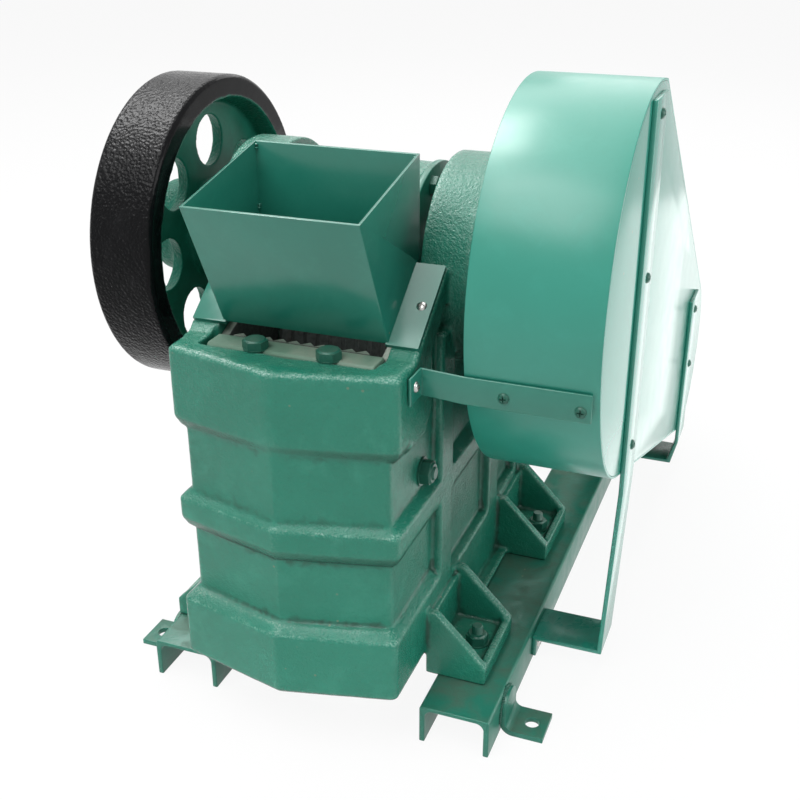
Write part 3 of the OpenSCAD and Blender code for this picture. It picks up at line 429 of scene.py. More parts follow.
def scratch(mesh):
    piece = bpy.data.objects.new("scratch", mesh)
    scene.collection.objects.link(piece)
    return piece


def settled(piece):
    mesh = bake(piece)
    bpy.data.objects.remove(piece)
    return mesh


# geometry trees

def startTree(name, inputs):
    tree = bpy.data.node_groups.new(name, "GeometryNodeTree")
    tree.interface.new_socket("Geometry", in_out="OUTPUT", socket_type="NodeSocketGeometry")
    tree.interface.new_socket("Geometry", in_out="INPUT", socket_type="NodeSocketGeometry")
    for label, kind, value in inputs:
        socket = tree.interface.new_socket(label, in_out="INPUT", socket_type="NodeSocket" + kind)
        if value is not None:
            socket.default_value = value
    return tree, put(tree, "NodeGroupInput").outputs, put(tree, "NodeGroupOutput")


def runTree(piece, tree, settings):
    step = piece.modifiers.new("make", "NODES")
    step.node_group = tree
    for item in tree.interface.items_tree:
        if item.in_out == "INPUT" and item.name in settings:
            step[item.identifier] = settings[item.name]


def triple(tree, **parts):
    return put(tree, "ShaderNodeCombineXYZ", parts).outputs[0]


def lifted(tree, geometry, height):
    shift = triple(tree, Z=height)
    return put(tree, "GeometryNodeTransform", {"Geometry": geometry, "Translation": shift}).outputs[0]


def joined(tree, parts):
    node = put(tree, "GeometryNodeJoinGeometry")
    for part in parts:
        tree.links.new(part, node.inputs[0])
    return node.outputs[0]


def aimed(tree, points, shape, seed):  # copies on the points, along their aim, each with a turn of its own
    aim = put(tree, "GeometryNodeInputNamedAttribute", {"Name": "aim"}, data_type="FLOAT_VECTOR").outputs[0]
    stand = put(tree, "FunctionNodeAlignRotationToVector", {"Vector": aim}, axis="Z").outputs[0]
    limits = {"Min": 0.0, "Max": 6.28, "Seed": seed}
    turn = put(tree, "FunctionNodeRandomValue", limits, data_type="FLOAT").outputs["Value"]
    spin = put(tree, "FunctionNodeAxisAngleToRotation", {"Axis": (0, 0, 1), "Angle": turn}).outputs[0]
    turns = {"Rotation": stand, "Rotate By": spin}
    both = put(tree, "FunctionNodeRotateRotation", turns, rotation_space="LOCAL").outputs[0]
    copies = {"Points": points, "Instance": shape, "Rotation": both}
    return put(tree, "GeometryNodeInstanceOnPoints", copies).outputs[0]


def finishTree(tree, geometry, material, out):
    real = put(tree, "GeometryNodeRealizeInstances", {"Geometry": geometry}).outputs[0]
    dyed = put(tree, "GeometryNodeSetMaterial", {"Geometry": real, "Material": material}).outputs[0]
    tree.links.new(dyed, out.inputs[0])


def makeHexTree():
    tree, given, out = startTree("hexFastener", (
        ("flats", "Float", 0.019), ("head", "Float", 0.010), ("washerRadius", "Float", 0.012),
        ("washer", "Float", 0.002), ("studRadius", "Float", 0.006), ("stud", "Float", 0.012),
        ("seed", "Int", 3), ("material", "Material", None),
    ))

    def share(name, part):
        return calc(tree, "MULTIPLY", given[name], part)

    def solid(kind, **sizes):
        values = {key.replace("_", " "): value for key, value in sizes.items()}
        return put(tree, "GeometryNodeMesh" + kind, values).outputs[0]

    prism = solid("Cylinder", Vertices=6, Radius=share("flats", 0.57735), Depth=share("head", 0.84))
    prism = lifted(tree, prism, calc(tree, "ADD", given["washer"], share("head", 0.42)))
    crown = solid("Cone", Vertices=28, Radius_Bottom=share("flats", 0.50), Radius_Top=share("flats", 0.43),
        Depth=share("head", 0.16))
    crown = lifted(tree, crown, calc(tree, "ADD", given["washer"], share("head", 0.84)))
    ring = solid("Cylinder", Vertices=32, Radius=given["washerRadius"], Depth=given["washer"])
    ring = lifted(tree, ring, share("washer", 0.5))
    pitch = share("studRadius", 0.3)
    turns = calc(tree, "ADD", calc(tree, "DIVIDE", given["stud"], pitch), 0.5)
    foot = calc(tree, "SUBTRACT", calc(tree, "ADD", given["washer"], given["head"]), pitch)
    line = solid("Line", Count=turns, Start_Location=triple(tree, Z=foot), Offset=triple(tree, Z=pitch))
    ridge = solid("Cone", Vertices=18, Radius_Bottom=given["studRadius"],
        Radius_Top=share("studRadius", 0.84), Depth=pitch)
    thread = put(tree, "GeometryNodeInstanceOnPoints", {"Points": line, "Instance": ridge}).outputs[0]
    shape = joined(tree, (prism, crown, ring, thread))
    shape = put(tree, "GeometryNodeRealizeInstances", {"Geometry": shape}).outputs[0]
    finishTree(tree, aimed(tree, given["Geometry"], shape, given["seed"]), given["material"], out)
    return tree


def makeScrewTree():
    tree, given, out = startTree("crossScrew", (
        ("radius", "Float", 0.006), ("height", "Float", 0.0035), ("slot", "Float", 0.0013),
        ("seed", "Int", 5), ("material", "Material", None),
    ))
    ball = {"Segments": 28, "Rings": 14, "Radius": given["radius"]}
    dome = put(tree, "GeometryNodeMeshUVSphere", ball).outputs[0]
    flat = triple(tree, X=1.0, Y=1.0, Z=calc(tree, "DIVIDE", given["height"], given["radius"]))
    dome = put(tree, "GeometryNodeTransform", {"Geometry": dome, "Scale": flat}).outputs[0]
    node = put(tree, "GeometryNodeMeshBoolean", {"Mesh 1": dome}, operation="DIFFERENCE")
    long = calc(tree, "MULTIPLY", given["radius"], 1.1)
    for x, y in ((long, given["slot"]), (given["slot"], long)):
        size = triple(tree, X=x, Y=y, Z=given["height"])
        cut = put(tree, "GeometryNodeMeshCube", {"Size": size}).outputs[0]
        cut = lifted(tree, cut, calc(tree, "MULTIPLY", given["height"], 0.95))
        tree.links.new(cut, node.inputs["Mesh 2"])
    finishTree(tree, aimed(tree, given["Geometry"], node.outputs[0], given["seed"]), given["material"], out)
    return tree


def makeWeldTree():
    tree, given, out = startTree("weldBead", (
        ("step", "Float", 0.002), ("size", "Float", 0.003),
        ("seed", "Int", 11), ("material", "Material", None),
    ))
    path = put(tree, "GeometryNodeMeshToCurve", {"Mesh": given["Geometry"]}).outputs[0]
    evenly = {"Curve": path, "Length": given["step"]}
    path = put(tree, "GeometryNodeResampleCurve", evenly, mode="LENGTH").outputs[0]
    points = put(tree, "GeometryNodeCurveToPoints", {"Curve": path}, mode="EVALUATED").outputs
    ripple = put(tree, "GeometryNodeMeshIcoSphere", {"Radius": given["size"], "Subdivisions": 2}).outputs[0]
    limits = {"Min": (0.75, 0.75, 0.55), "Max": (1.2, 1.2, 0.9), "Seed": given["seed"]}
    vary = put(tree, "FunctionNodeRandomValue", limits, data_type="FLOAT_VECTOR").outputs["Value"]
    copies = {"Points": points["Points"], "Instance": ripple, "Rotation": points["Rotation"], "Scale": vary}
    beads = put(tree, "GeometryNodeInstanceOnPoints", copies).outputs[0]
    finishTree(tree, beads, given["material"], out)
    return tree


def makeSpringTree():
    tree, given, out = startTree("coilSpring", (
        ("radius", "Float", 0.013), ("wire", "Float", 0.002), ("length", "Float", 0.05),
        ("turns", "Float", 6.5), ("material", "Material", None),
    ))
    sizes = {"Start Radius": given["radius"], "End Radius": given["radius"], "Height": given["length"]}
    coil = put(tree, "GeometryNodeCurveSpiral", {"Resolution": 40, "Rotations": given["turns"], **sizes})
    wire = put(tree, "GeometryNodeCurvePrimitiveCircle", {"Resolution": 12, "Radius": given["wire"]})
    sweep = {"Curve": coil.outputs[0], "Profile Curve": wire.outputs[0], "Fill Caps": True}
    tube = put(tree, "GeometryNodeCurveToMesh", sweep).outputs[0]
    finishTree(tree, tube, given["material"], out)
    return tree


def makeSkinTree():  # uneven skin of a sand casting
    tree, given, out = startTree("castSkin", (
        ("lump", "Float", 0.0006), ("lumpScale", "Float", 40.0),
        ("pebble", "Float", 0.0003), ("pebbleScale", "Float", 160.0),
    ))
    place = put(tree, "GeometryNodeInputPosition").outputs[0]
    heights = []
    for name, detail in (("lump", 2.0), ("pebble", 1.0)):
        values = {"Vector": place, "Scale": given[name + "Scale"], "Detail": detail}
        noise = put(tree, "ShaderNodeTexNoise", values).outputs["Fac"]
        heights.append(calc(tree, "MULTIPLY", calc(tree, "SUBTRACT", noise, 0.55), given[name]))
    push = calc(tree, "ADD", *heights)
    normal = put(tree, "GeometryNodeInputNormal").outputs[0]
    along = put(tree, "ShaderNodeVectorMath", {0: normal, "Scale": push}, operation="SCALE").outputs[0]
    moved = put(tree, "GeometryNodeSetPosition", {"Geometry": given["Geometry"], "Offset": along}).outputs[0]
    tree.links.new(moved, out.inputs[0])
    return tree


hexTree, screwTree, weldTree = makeHexTree(), makeScrewTree(), makeWeldTree()
springTree, skinTree = makeSpringTree(), makeSkinTree()


def pointMesh(points):  # points as (place, aim)
    mesh = bpy.data.meshes.new("points")
    mesh.from_pydata([tuple(p) for p, a in points], [], [])
    aim = mesh.attributes.new("aim", "FLOAT_VECTOR", "POINT")
    aim.data.foreach_set("vector", [c for p, a in points for c in Vector(a).normalized()])
    return mesh


def fasteners(name, body, tree, points, settings, material):
    piece = scratch(pointMesh(points))
    runTree(piece, tree, {**settings, "material": material})
    mesh = settled(piece)
    return newPiece(name, mesh, body, material)


# castings: solids fused, edges melted, skin roughened

ridgeDepth = 0.0012  # height over its neighbours, in metres, that counts as a full ridge


def ridgeAttribute(mesh):  # 0.5 flat, above on ridges, below in corners
    work = bmesh.new()
    work.from_mesh(mesh)
    work.normal_update()
    raw = []
    for v in work.verts:
        total = Vector()
        for e in v.link_edges:
            total += e.other_vert(v).co - v.co
        raw.append(-total.dot(v.normal) / max(len(v.link_edges), 1))
    values = []
    for v in work.verts:
        around = sum([raw[e.other_vert(v).index] for e in v.link_edges], raw[v.index] * 2)
        near = around / (len(v.link_edges) + 2)
        values.append(min(1.0, max(0.0, 0.5 + near / ridgeDepth)))
    work.free()
    layer = mesh.attributes.new("ridge", "FLOAT", "POINT")
    layer.data.foreach_set("value", values)


def boxMesh(low, high):
    work = bmesh.new()
    bmesh.ops.create_cube(work, size=1.0)
    for v in work.verts:
        v.co = Vector(((low[i] + high[i]) / 2 + v.co[i] * (high[i] - low[i]) for i in range(3)))
    return meshFrom(work, "box")


def soften(piece, s):  # wide rounding along one crease, by a weighted smooth
    middle, reach, low = s["crease"]
    group = piece.vertex_groups.new(name="crease")
    for v in piece.data.vertices:
        if v.co.z > low and v.co.y < -railHalf / 1000 and abs(v.co.x - middle) < reach:
            group.add([v.index], 1.0 - abs(v.co.x - middle) / reach, "REPLACE")
    soft = piece.modifiers.new("soft", "SMOOTH")
    soft.factor = 0.5
    soft.iterations = s["creaseMelt"]
    soft.vertex_group = "crease"


def dishWeb(mesh, s):  # flywheel web thinned from its outer side, holes opening wider that way
    across = [v.co.x for v in mesh.vertices]
    middle = (min(across) + max(across)) / 2
    hub = at(0, shaftY, shaftZ)
    turns = [math.radians(s["phase"] + 360 / s["holes"] * i) for i in range(s["holes"])]
    centres = [at(0, shaftY + s["pitch"] * math.cos(a), shaftZ + s["pitch"] * math.sin(a)) for a in turns]
    for v in mesh.vertices:
        radius = math.hypot(v.co.y - hub.y, v.co.z - hub.z)
        share = min(1.0, max(0.0, min(radius - s["ring"][0], s["ring"][1] - radius) / s["ringBlend"]))
        depth = min(1.0, max(0.0, (middle - v.co.x) / s["web"] + 0.5))
        for c in centres:
            away = Vector((0, v.co.y - c.y, v.co.z - c.z))
            near = min(1.0, (s["reach"] - away.length) / (s["reach"] - s["hole"]))
            if near > 0:
                v.co += away.normalized() * near * (s["narrow"] + (s["wide"] - s["narrow"]) * depth)
                break
        v.co.x += s["dish"] * depth * share


def casting(name, names, body, material, s):
    piece = scratch(mergedMesh(names, 0))
    if "slot" in s:
        tool = scratch(boxMesh(*s["slot"]))
        cut = piece.modifiers.new("slot", "BOOLEAN")
        cut.operation, cut.solver, cut.use_self, cut.object = "DIFFERENCE", "EXACT", True, tool
        bake(piece)
        bpy.data.objects.remove(tool)
    fuse = piece.modifiers.new("fuse", "REMESH")
    fuse.mode = "VOXEL"
    fuse.voxel_size = s["voxel"]
    melt = piece.modifiers.new("melt", "SMOOTH")
    melt.factor = 0.5
    melt.iterations = s["melt"]
    if "crease" in s:
        bake(piece)
        soften(piece, s)
    if "dish" in s:
        dishWeb(bake(piece), s)
    runTree(piece, skinTree, s)
    thin = piece.modifiers.new("thin", "DECIMATE")
    thin.ratio = s["thin"]
    mesh = settled(piece)
    smoothMesh(mesh, 180)
    ridgeAttribute(mesh)
    print(name, "faces", len(mesh.polygons))
    return newPiece(name, mesh, body, material, *names)


frameSet = {
    "slot": (at(-88.3, -3.5, 300), at(-79.4, 24, 356)),  # beside the clamp bar's left end
    "crease": (bodyX / 1000, 0.020, 0.268), "creaseMelt": 40,  # middle, reach and lowest height in metres
    "voxel": 0.0017, "melt": 3, "thin": 0.30,
    "lump": 0.0004, "lumpScale": 34.0, "pebble": 0.0004, "pebbleScale": 190.0,
}
flywheelSet = {
    "phase": 86.0, "holes": 7, "pitch": 81.5, "hole": 0.024, "reach": 0.0345,
    "narrow": -0.0012, "wide": 0.0035,  # change of a hole's radius on the inner and the outer side
    "web": 0.020, "dish": 0.007, "ring": (0.046, 0.117), "ringBlend": 0.005,
    "voxel": 0.0015, "melt": 2, "thin": 0.45,
    "lump": 0.0003, "lumpScale": 30.0, "pebble": 0.0001, "pebbleScale": 230.0,
}
jawSet = {
    "voxel": 0.0026, "melt": 5, "thin": 0.60,
    "lump": 0.0008, "lumpScale": 40.0, "pebble": 0.0005, "pebbleScale": 150.0,
}
frameNames = ["frame_front", "frame_left", "frame_right", "frame_rear"]
frameNames += ["foot_front_left", "foot_front_right", "foot_rear_left", "foot_rear_right"]
castPaint = enamel["castingEnamel"]
casting("frameCasting", frameNames, "base", castPaint, frameSet)
casting("flywheelCasting", ["flywheel"], "crank", wheelPaint, flywheelSet)
casting("swingJawCasting", ["swing_jaw"], "jaw", castPaint, jawSet)
print("castings made")


# sheet, bar and turned pieces: CAD shape with eased edges

easeSet = {"segments": 2, "from": 30, "smooth": 35}  # angles in degrees


def eased(name, node, body, material, width, slot):
    piece = scratch(mergedMesh([node]))
    ease = piece.modifiers.new("ease", "BEVEL")
    ease.width = width
    ease.segments = easeSet["segments"]
    ease.limit_method = "ANGLE"
    ease.angle_limit = math.radians(easeSet["from"])
    mesh = settled(piece)
    smoothMesh(mesh, easeSet["smooth"])
    return newPiece(name, mesh, body, material, node)


easedPieces = (  # piece, node, body, material, edge width in metres, record slot
    ("railLeft", "rail_left", "base", enamel["railEnamel"], 0.0010, "base_paint"),
    ("railRight", "rail_right", "base", enamel["railEnamel"], 0.0010, "base_paint"),
    ("lugFrontLeft", "lug_front_left", "base", enamel["railEnamel"], 0.0008, "base_paint"),
    ("lugFrontRight", "lug_front_right", "base", enamel["railEnamel"], 0.0008, "base_paint"),
    ("lugRearLeft", "lug_rear_left", "base", enamel["railEnamel"], 0.0008, "base_paint"),
    ("lugRearRight", "lug_rear_right", "base", enamel["railEnamel"], 0.0008, "base_paint"),
    ("coverLeft", "cover_left", "base", enamel["boltEnamel"], 0.0010, "casting_paint"),
    ("coverRight", "cover_right", "base", enamel["boltEnamel"], 0.0010, "casting_paint"),
    ("clampBar", "clamp_bar", "base", enamel["clampEnamel"], 0.0008, "casting_paint"),
    ("feedHopper", "hopper", "base", enamel["hopperEnamel"], 0.0005, "hopper_paint"),
    ("guardRim", "guard_rim", "base", enamel["guardEnamel"], 0.0006, "guard_paint"),
    ("guardFace", "guard_face", "base", enamel["faceEnamel"], 0.0006, "guard_paint"),
    ("guardBracket", "guard_bracket", "base", enamel["hopperEnamel"], 0.0009, "guard_paint"),
    ("guardLeg", "guard_leg", "base", enamel["faceEnamel"], 0.0008, "guard_paint"),
    ("guardLegRear", "guard_leg_rear", "base", enamel["faceEnamel"], 0.0008, "guard_paint"),
    ("motorBase", "motor_base", "base", enamel["railEnamel"], 0.0012, "base_paint"),
    ("motorBody", "motor_body", "base", enamel["motorEnamel"], 0.0006, "motor_paint"),
    ("motorCowl", "motor_cowl", "base", enamel["motorEnamel"], 0.0020, "motor_paint"),
    ("terminalBox", "terminal_box", "base", enamel["motorEnamel"], 0.0020, "motor_paint"),
    ("motorPulley", "motor_pulley", "base", metal["pulleyIron"], 0.0008, "pulley_iron"),
    ("drivePulley", "drive_pulley", "crank", metal["pulleyIron"], 0.0010, "pulley_iron"),
    ("crankShaft", "shaft", "crank", metal["shaftSteel"], 0.0020, "steel"),
    ("jawCapLeft", "jaw_cap_left", "jaw", enamel["railEnamel"], 0.0010, "casting_paint"),
    ("jawCapRight", "jaw_cap_right", "jaw", enamel["railEnamel"], 0.0010, "casting_paint"),
    ("fixedJaw", "fixed_jaw", "base", metal["jawSteel"], 0.0009, "jaw_steel"),
    ("swingPlate", "swing_plate", "jaw", metal["jawSteel"], 0.0009, "jaw_steel"),
    ("cheekLeft", "cheek_left", "base", metal["jawSteel"], 0.0008, "jaw_steel"),
    ("cheekRight", "cheek_right", "base", metal["jawSteel"], 0.0008, "jaw_steel"),
    ("toggleSeat", "toggle_seat", "base", metal["jawSteel"], 0.0010, "jaw_steel"),
    ("togglePlate", "toggle_plate", "base", metal["jawSteel"], 0.0008, "jaw_steel"),
    ("tensionRod", "tension_rod", "jaw", metal["shaftSteel"], 0.0010, "steel"),
    ("bearingLeft", "bearing_left", "base", metal["shaftSteel"], 0.0008, "steel"),
    ("bearingRight", "bearing_right", "base", metal["shaftSteel"], 0.0008, "steel"),
)
for row in easedPieces:
    eased(*row)
clampEnd = -0.0796  # the bar stops short of the slot's end
for v in bpy.data.objects["clampBar"].data.vertices:
    v.co.x = max(v.co.x, clampEnd)
print("eased pieces made", len(easedPieces))


# drive belts: V sections side by side, run round both pulleys

beltSet = {
    "left": 153.5, "gap": 0.2, "pitch": 14.7, "count": 3, "top": 13.6, "foot": 8.6, "height": 10.6, "edge": 2,
    "pulleys": ((shaftY, shaftZ, 125.2), (motorY, 146.5, 49.2)), "steps": 144,  # y, z, radius under the belt
}


def vBelts(s):
    foot, top, height = s["foot"] / 2, s["top"] / 2, s["height"]
    brim = height - s["edge"]
    section = ((-foot, 0), (foot, 0), (top, brim), (top, height), (-top, height), (-top, brim))
    corners = len(section)
    work = bmesh.new()
    for i in range(s["count"]):
        middle = s["left"] + s["top"] / 2 + s["gap"] + s["pitch"] * i
        rings = []
        for k in range(s["steps"]):
            c, d = math.cos(math.tau * k / s["steps"]), math.sin(math.tau * k / s["steps"])
            y, z, radius = max(s["pulleys"], key=lambda w: w[0] * c + w[1] * d + w[2])  # outer pulley here
            spots = [(half, radius + rise) for half, rise in section]
            rings.append([work.verts.new(at(middle + half, y + out * c, z + out * d)) for half, out in spots])
        for k in range(s["steps"]):
            here, there = rings[k], rings[(k + 1) % s["steps"]]
            for j in range(corners):
                n = (j + 1) % corners
                work.faces.new((here[j], here[n], there[n], there[j]))
    bmesh.ops.recalc_face_normals(work, faces=work.faces)
    mesh = meshFrom(work, "driveBelts")
    smoothMesh(mesh, 30)
    return mesh


newPiece("driveBelts", vBelts(beltSet), "base", rubber, "belt")


# hex bolts, studs and nuts, sizes in metres

clampBolt = {"flats": 0.0180, "head": 0.0075, "washerRadius": 0.0100, "washer": 0.0008}
sideBolt = {"flats": 0.0190, "head": 0.0095, "washerRadius": 0.0125, "washer": 0.0020}
footNut = {"flats": 0.0180, "head": 0.0095, "washerRadius": 0.0110, "washer": 0.0016}
coverBolt = {"flats": 0.0130, "head": 0.0058, "washerRadius": 0.0078, "washer": 0.0010}
capBolt = {"flats": 0.0150, "head": 0.0065, "washerRadius": 0.0085, "washer": 0.0008}
rodNut = {"flats": 0.0190, "head": 0.0100, "washerRadius": 0.0120, "washer": 0.0010}
boltSets = {
    "clamp": {**clampBolt, "studRadius": 0.006, "stud": 0.0, "seed": 3},
    "side": {**sideBolt, "studRadius": 0.006, "stud": 0.004, "seed": 4},
    "foot": {**footNut, "studRadius": 0.0052, "stud": 0.0095, "seed": 8},
    "cover": {**coverBolt, "studRadius": 0.004, "stud": 0.0, "seed": 6},
    "cap": {**capBolt, "studRadius": 0.004, "stud": 0.0, "seed": 9},
    "rod": {**rodNut, "studRadius": 0.006, "stud": 0.0, "seed": 2},
}


def ringPoints(x, radius, count, start, aim):  # round the shaft
    turn = [math.radians(start + 360 / count * i) for i in range(count)]
    return [(at(x, shaftY + radius * math.cos(a), shaftZ + radius * math.sin(a)), aim) for a in turn]


paint = enamel["boltEnamel"]
upward, rightward, leftward = (0, 0, 1), (1, 0, 0), (-1, 0, 0)
forward, backward = (0, -1, 0), (0, 1, 0)
coverX, capX = housingHw + 7.2, jawHw - 0.3
clampPoints = [(at(x, 0.5, 350.6), upward) for x in (-38.5, 24.7)]
sidePoints = [(at(bodyX + s * (recessHw - 0.6), 56, 235.5), (s, 0, 0)) for s in (1, -1)]
rearPoints = [(at(bodyX + x, 361.2, 143), backward) for x in (-30, 30)]
footPoints = [(at(bodyX + s * (bandHw + 34), y, 49.2), upward) for s in (1, -1) for y in (89, 305)]
coverPoints = ringPoints(bodyX + coverX, 61, 6, 30, rightward)
coverPoints += ringPoints(bodyX - coverX, 61, 6, 30, leftward)
motorPoints = [(at(x, motorY + s * 80, 67.4), upward) for x in (-52, 36) for s in (1, -1)]
capPoints = ringPoints(bodyX + capX, 66, 3, 105, rightward)
capPoints += ringPoints(bodyX - capX, 66, 3, 105, leftward)
rodPoints = [(at(bodyX, 425.6, 98), backward)]
fasteners("clampBolts", "base", hexTree, clampPoints, boltSets["clamp"], paint)
fasteners("sideBolts", "base", hexTree, sidePoints + rearPoints, boltSets["side"], paint)
fasteners("footNuts", "base", hexTree, footPoints, boltSets["foot"], paint)
fasteners("coverBolts", "base", hexTree, coverPoints, boltSets["cover"], paint)
fasteners("motorBolts", "base", hexTree, motorPoints, boltSets["cover"], paint)
fasteners("capBolts", "jaw", hexTree, capPoints, boltSets["cap"], paint)
fasteners("rodNuts", "jaw", hexTree, rodPoints, boltSets["rod"], metal["screwSteel"])


# cross-head screws: bare on bracket, hopper flanges and leg feet, painted over on the guard

screwSet = {"radius": 0.0046, "height": 0.0030, "slot": 0.0011, "seed": 5}
lidScrewSet = {**screwSet, "radius": 0.0042, "height": 0.0028}
slope = Vector((0, -47.0, 64.0)).normalized()  # square to the hopper flanges
guardX, lidX = 235.9, -8.0
bareScrews = [(at(93.1, 8.2, 334.5), rightward)]
bareScrews += [(at(x, 56, 381.2), slope) for x in (80.5, -99.5)]
bareScrews += [(at(166.9, y, 17.7), rightward) for y in (151, 187, 561, 595)]
paintedScrews = [(at(160.3, 15.9, 332.3), forward), (at(219, 15.9, 330.6), forward)]
paintedScrews += [(at(guardX, 168, z), rightward) for z in (521, 388, 235)]
paintedScrews += [(at(guardX, 578, z), rightward) for z in (220, 150)]
lidScrews = [(at(lidX + x, motorY + y, 268.4), upward) for x in (-41, 41) for y in (-43, 43)]
fasteners("bareScrews", "base", screwTree, bareScrews, screwSet, metal["screwSteel"])
fasteners("guardScrews", "base", screwTree, paintedScrews, screwSet, paint)
fasteners("lidScrews", "base", screwTree, lidScrews, lidScrewSet, metal["screwSteel"])


# weld beads on the lugs and in the hopper corners

lugWeldSet = {"step": 0.0020, "size": 0.0020, "seed": 11}
tackSet = {"step": 0.0015, "size": 0.0014, "seed": 12}
lugSet = {"face": 163.3, "places": (52, 668), "half": 18, "arc": 17.6, "arcZ": 18, "foot": 12}
hopperSet = {"middle": bodyX + 1.5, "half": 69.0, "y": 92.0, "heights": (438, 488), "tack": 1.5}


def weldLine(name, lines, settings, material):
    mesh = bpy.data.meshes.new("lines")
    spots, edges = [], []
    for line in lines:
        edges += [(len(spots) + i, len(spots) + i + 1) for i in range(len(line) - 1)]
        spots += [tuple(p) for p in line]
    mesh.from_pydata(spots, edges, [])
    piece = scratch(mesh)
    runTree(piece, weldTree, {**settings, "material": material})
    made = settled(piece)
    smoothMesh(made, 180)
    return newPiece(name, made, "base", material)


def lugLine(x, y, s):  # up one side of a lug, over its round top and down again
    turns = [math.radians(a) for a in range(0, 181, 12)]
    over = [at(x, y - s["arc"] * math.cos(a), s["arcZ"] + s["arc"] * math.sin(a)) for a in turns]
    return [at(x, y - s["half"], s["foot"])] + over + [at(x, y + s["half"], s["foot"])]


def tackLine(x, z, s):
    return [at(x, s["y"], z - s["tack"]), at(x, s["y"], z + s["tack"])]


lugLines = [lugLine(side * lugSet["face"], y, lugSet) for side in (1, -1) for y in lugSet["places"]]
tackX = [hopperSet["middle"] + side * hopperSet["half"] for side in (1, -1)]
tacks = [tackLine(x, z, hopperSet) for x in tackX for z in hopperSet["heights"]]
weldLine("lugWelds", lugLines, lugWeldSet, enamel["boltEnamel"])
weldLine("hopperTacks", tacks, tackSet, enamel["hopperEnamel"])


# tension spring

springSet = {"radius": 0.0130, "wire": 0.0019, "length": 0.0485, "turns": 6.0}
spring = scratch(bpy.data.meshes.new("spring"))
runTree(spring, springTree, {**springSet, "material": metal["shaftSteel"]})
springMesh = settled(spring)
springMesh.transform(Matrix.Translation(at(bodyX, 412.2, 98)) @ Matrix.Rotation(math.pi / 2, 4, "X"))
smoothMesh(springMesh, 180)
newPiece("tensionSpring", springMesh, "base", metal["shaftSteel"], "tension_spring")
print("fasteners, welds and spring made")


# floor, light and world

studio = {"floor": 0.88, "floorHalf": 9, "floorShare": 0.92, "ambient": 0.25, "backdrop": 0.945}
lampSets = {  # power in watts, size, place and target in metres
    "keyBox": {"power": 35.0, "size": (2.0, 1.2), "place": (-0.45, -1.5, 2.25), "target": (0, -0.1, 0.3)},
    "frontBox": {  # narrow fill for the low front
        "power": 0.3, "size": (1.0, 0.3), "place": (-0.7, -1.9, 0.30), "target": (-0.02, -0.4, 0.03),
        "beam": 0.35, "mirrored": False,
    },
    "roofBox": {"power": 62.0, "size": (2.2, 3.6), "place": (-0.6, 0.7, 2.2), "target": (-0.6, 0.7, 0.0)},
    "leftBox": {  # only shows as a highlight
        "power": 46.0, "size": (1.3, 1.0), "place": (-1.24, 0.15, 2.15), "target": (-1.24, 0.15, 0.0),
        "lights": False,
    },
    "rightBox": {"power": 11.5, "size": (1.2, 1.0), "place": (2.0, -0.7, 1.4), "target": (0.1, -0.1, 0.2)},
    "lowBox": {"power": 6.0, "size": (0.9, 0.5), "place": (1.6, 0.3, 0.55), "target": (0.16, 0.0, 0.02)},
    "rearBox": {"power": 10.0, "size": (1.8, 0.9), "place": (0.2, 2.6, 1.7), "target": (0, 0, 0.4)},
    "sideCard": {  # pale card mirrored in the guard's flat face
        "power": 6.8, "size": (1.1, 2.1), "place": (0.80, 0.85, 0.003), "target": (0.80, 0.85, 1.0),
        "lights": False,
    },
}


def rays(tree):  # camera, mirror and glass rays see the plain white studio
    path = put(tree, "ShaderNodeLightPath").outputs
    bent = calc(tree, "MAXIMUM", path["Is Glossy Ray"], path["Is Transmission Ray"])
    return calc(tree, "MAXIMUM", path["Is Camera Ray"], bent)


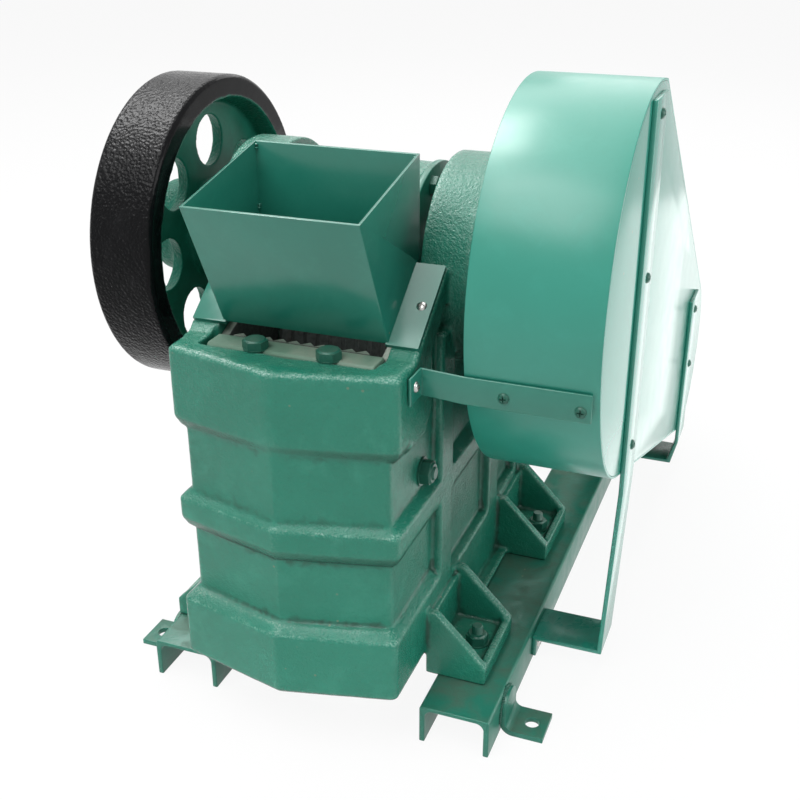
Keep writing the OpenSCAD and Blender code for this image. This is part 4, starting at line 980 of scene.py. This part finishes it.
def makeFloor(s):
    half = s["floorHalf"]
    mesh = bpy.data.meshes.new("studioFloor")
    corners = [(-half, -half, 0), (half, -half, 0), (half, half, 0), (-half, half, 0)]
    mesh.from_pydata(corners, [], [(0, 1, 2, 3)])
    floor = bpy.data.objects.new("studioFloor", mesh)
    scene.collection.objects.link(floor)
    mat, tree, shader, coords = startMaterial("studioFloor")
    shader.inputs["Base Color"].default_value = (s["floor"], s["floor"], s["floor"], 1)
    shader.inputs["Roughness"].default_value = 0.9
    shader.inputs["Specular IOR Level"].default_value = 0.1
    glow = put(tree, "ShaderNodeEmission", {"Color": (1, 1, 1, 1), "Strength": 1.0})
    share = calc(tree, "MULTIPLY", rays(tree), s["floorShare"])
    mix = put(tree, "ShaderNodeMixShader", {0: share, 1: shader.outputs[0], 2: glow.outputs[0]})
    tree.links.new(mix.outputs[0], tree.nodes["Material Output"].inputs["Surface"])
    mesh.materials.append(mat)


def makeWorld(s):
    world = bpy.data.worlds.new("studio")
    scene.world = world
    world.use_nodes = True
    tree = world.node_tree
    soft = tree.nodes["Background"]
    soft.inputs["Color"].default_value = (1.0, 1.0, 1.0, 1.0)
    soft.inputs["Strength"].default_value = s["ambient"]
    white = put(tree, "ShaderNodeBackground", {"Color": (1, 1, 1, 1), "Strength": s["backdrop"]})
    mix = put(tree, "ShaderNodeMixShader", {0: rays(tree), 1: soft.outputs[0], 2: white.outputs[0]})
    tree.links.new(mix.outputs[0], tree.nodes["World Output"].inputs["Surface"])


def makeLamp(name, s):
    lamp = bpy.data.lights.new(name, "AREA")
    lamp.energy = s["power"]
    lamp.shape = "RECTANGLE"
    lamp.size, lamp.size_y = s["size"]
    lamp.spread = s.get("beam", math.pi)
    holder = bpy.data.objects.new(name, lamp)
    aim = (Vector(s["target"]) - Vector(s["place"])).to_track_quat("-Z", "Y")
    holder.matrix_world = Matrix.Translation(s["place"]) @ aim.to_matrix().to_4x4()
    holder.visible_camera = False
    holder.visible_diffuse = s.get("lights", True)
    holder.visible_glossy = s.get("mirrored", True)
    scene.collection.objects.link(holder)


makeFloor(studio)
makeWorld(studio)
for name, lampSet in lampSets.items():
    makeLamp(name, lampSet)
scene.view_settings.view_transform = "Standard"
print("studio made")
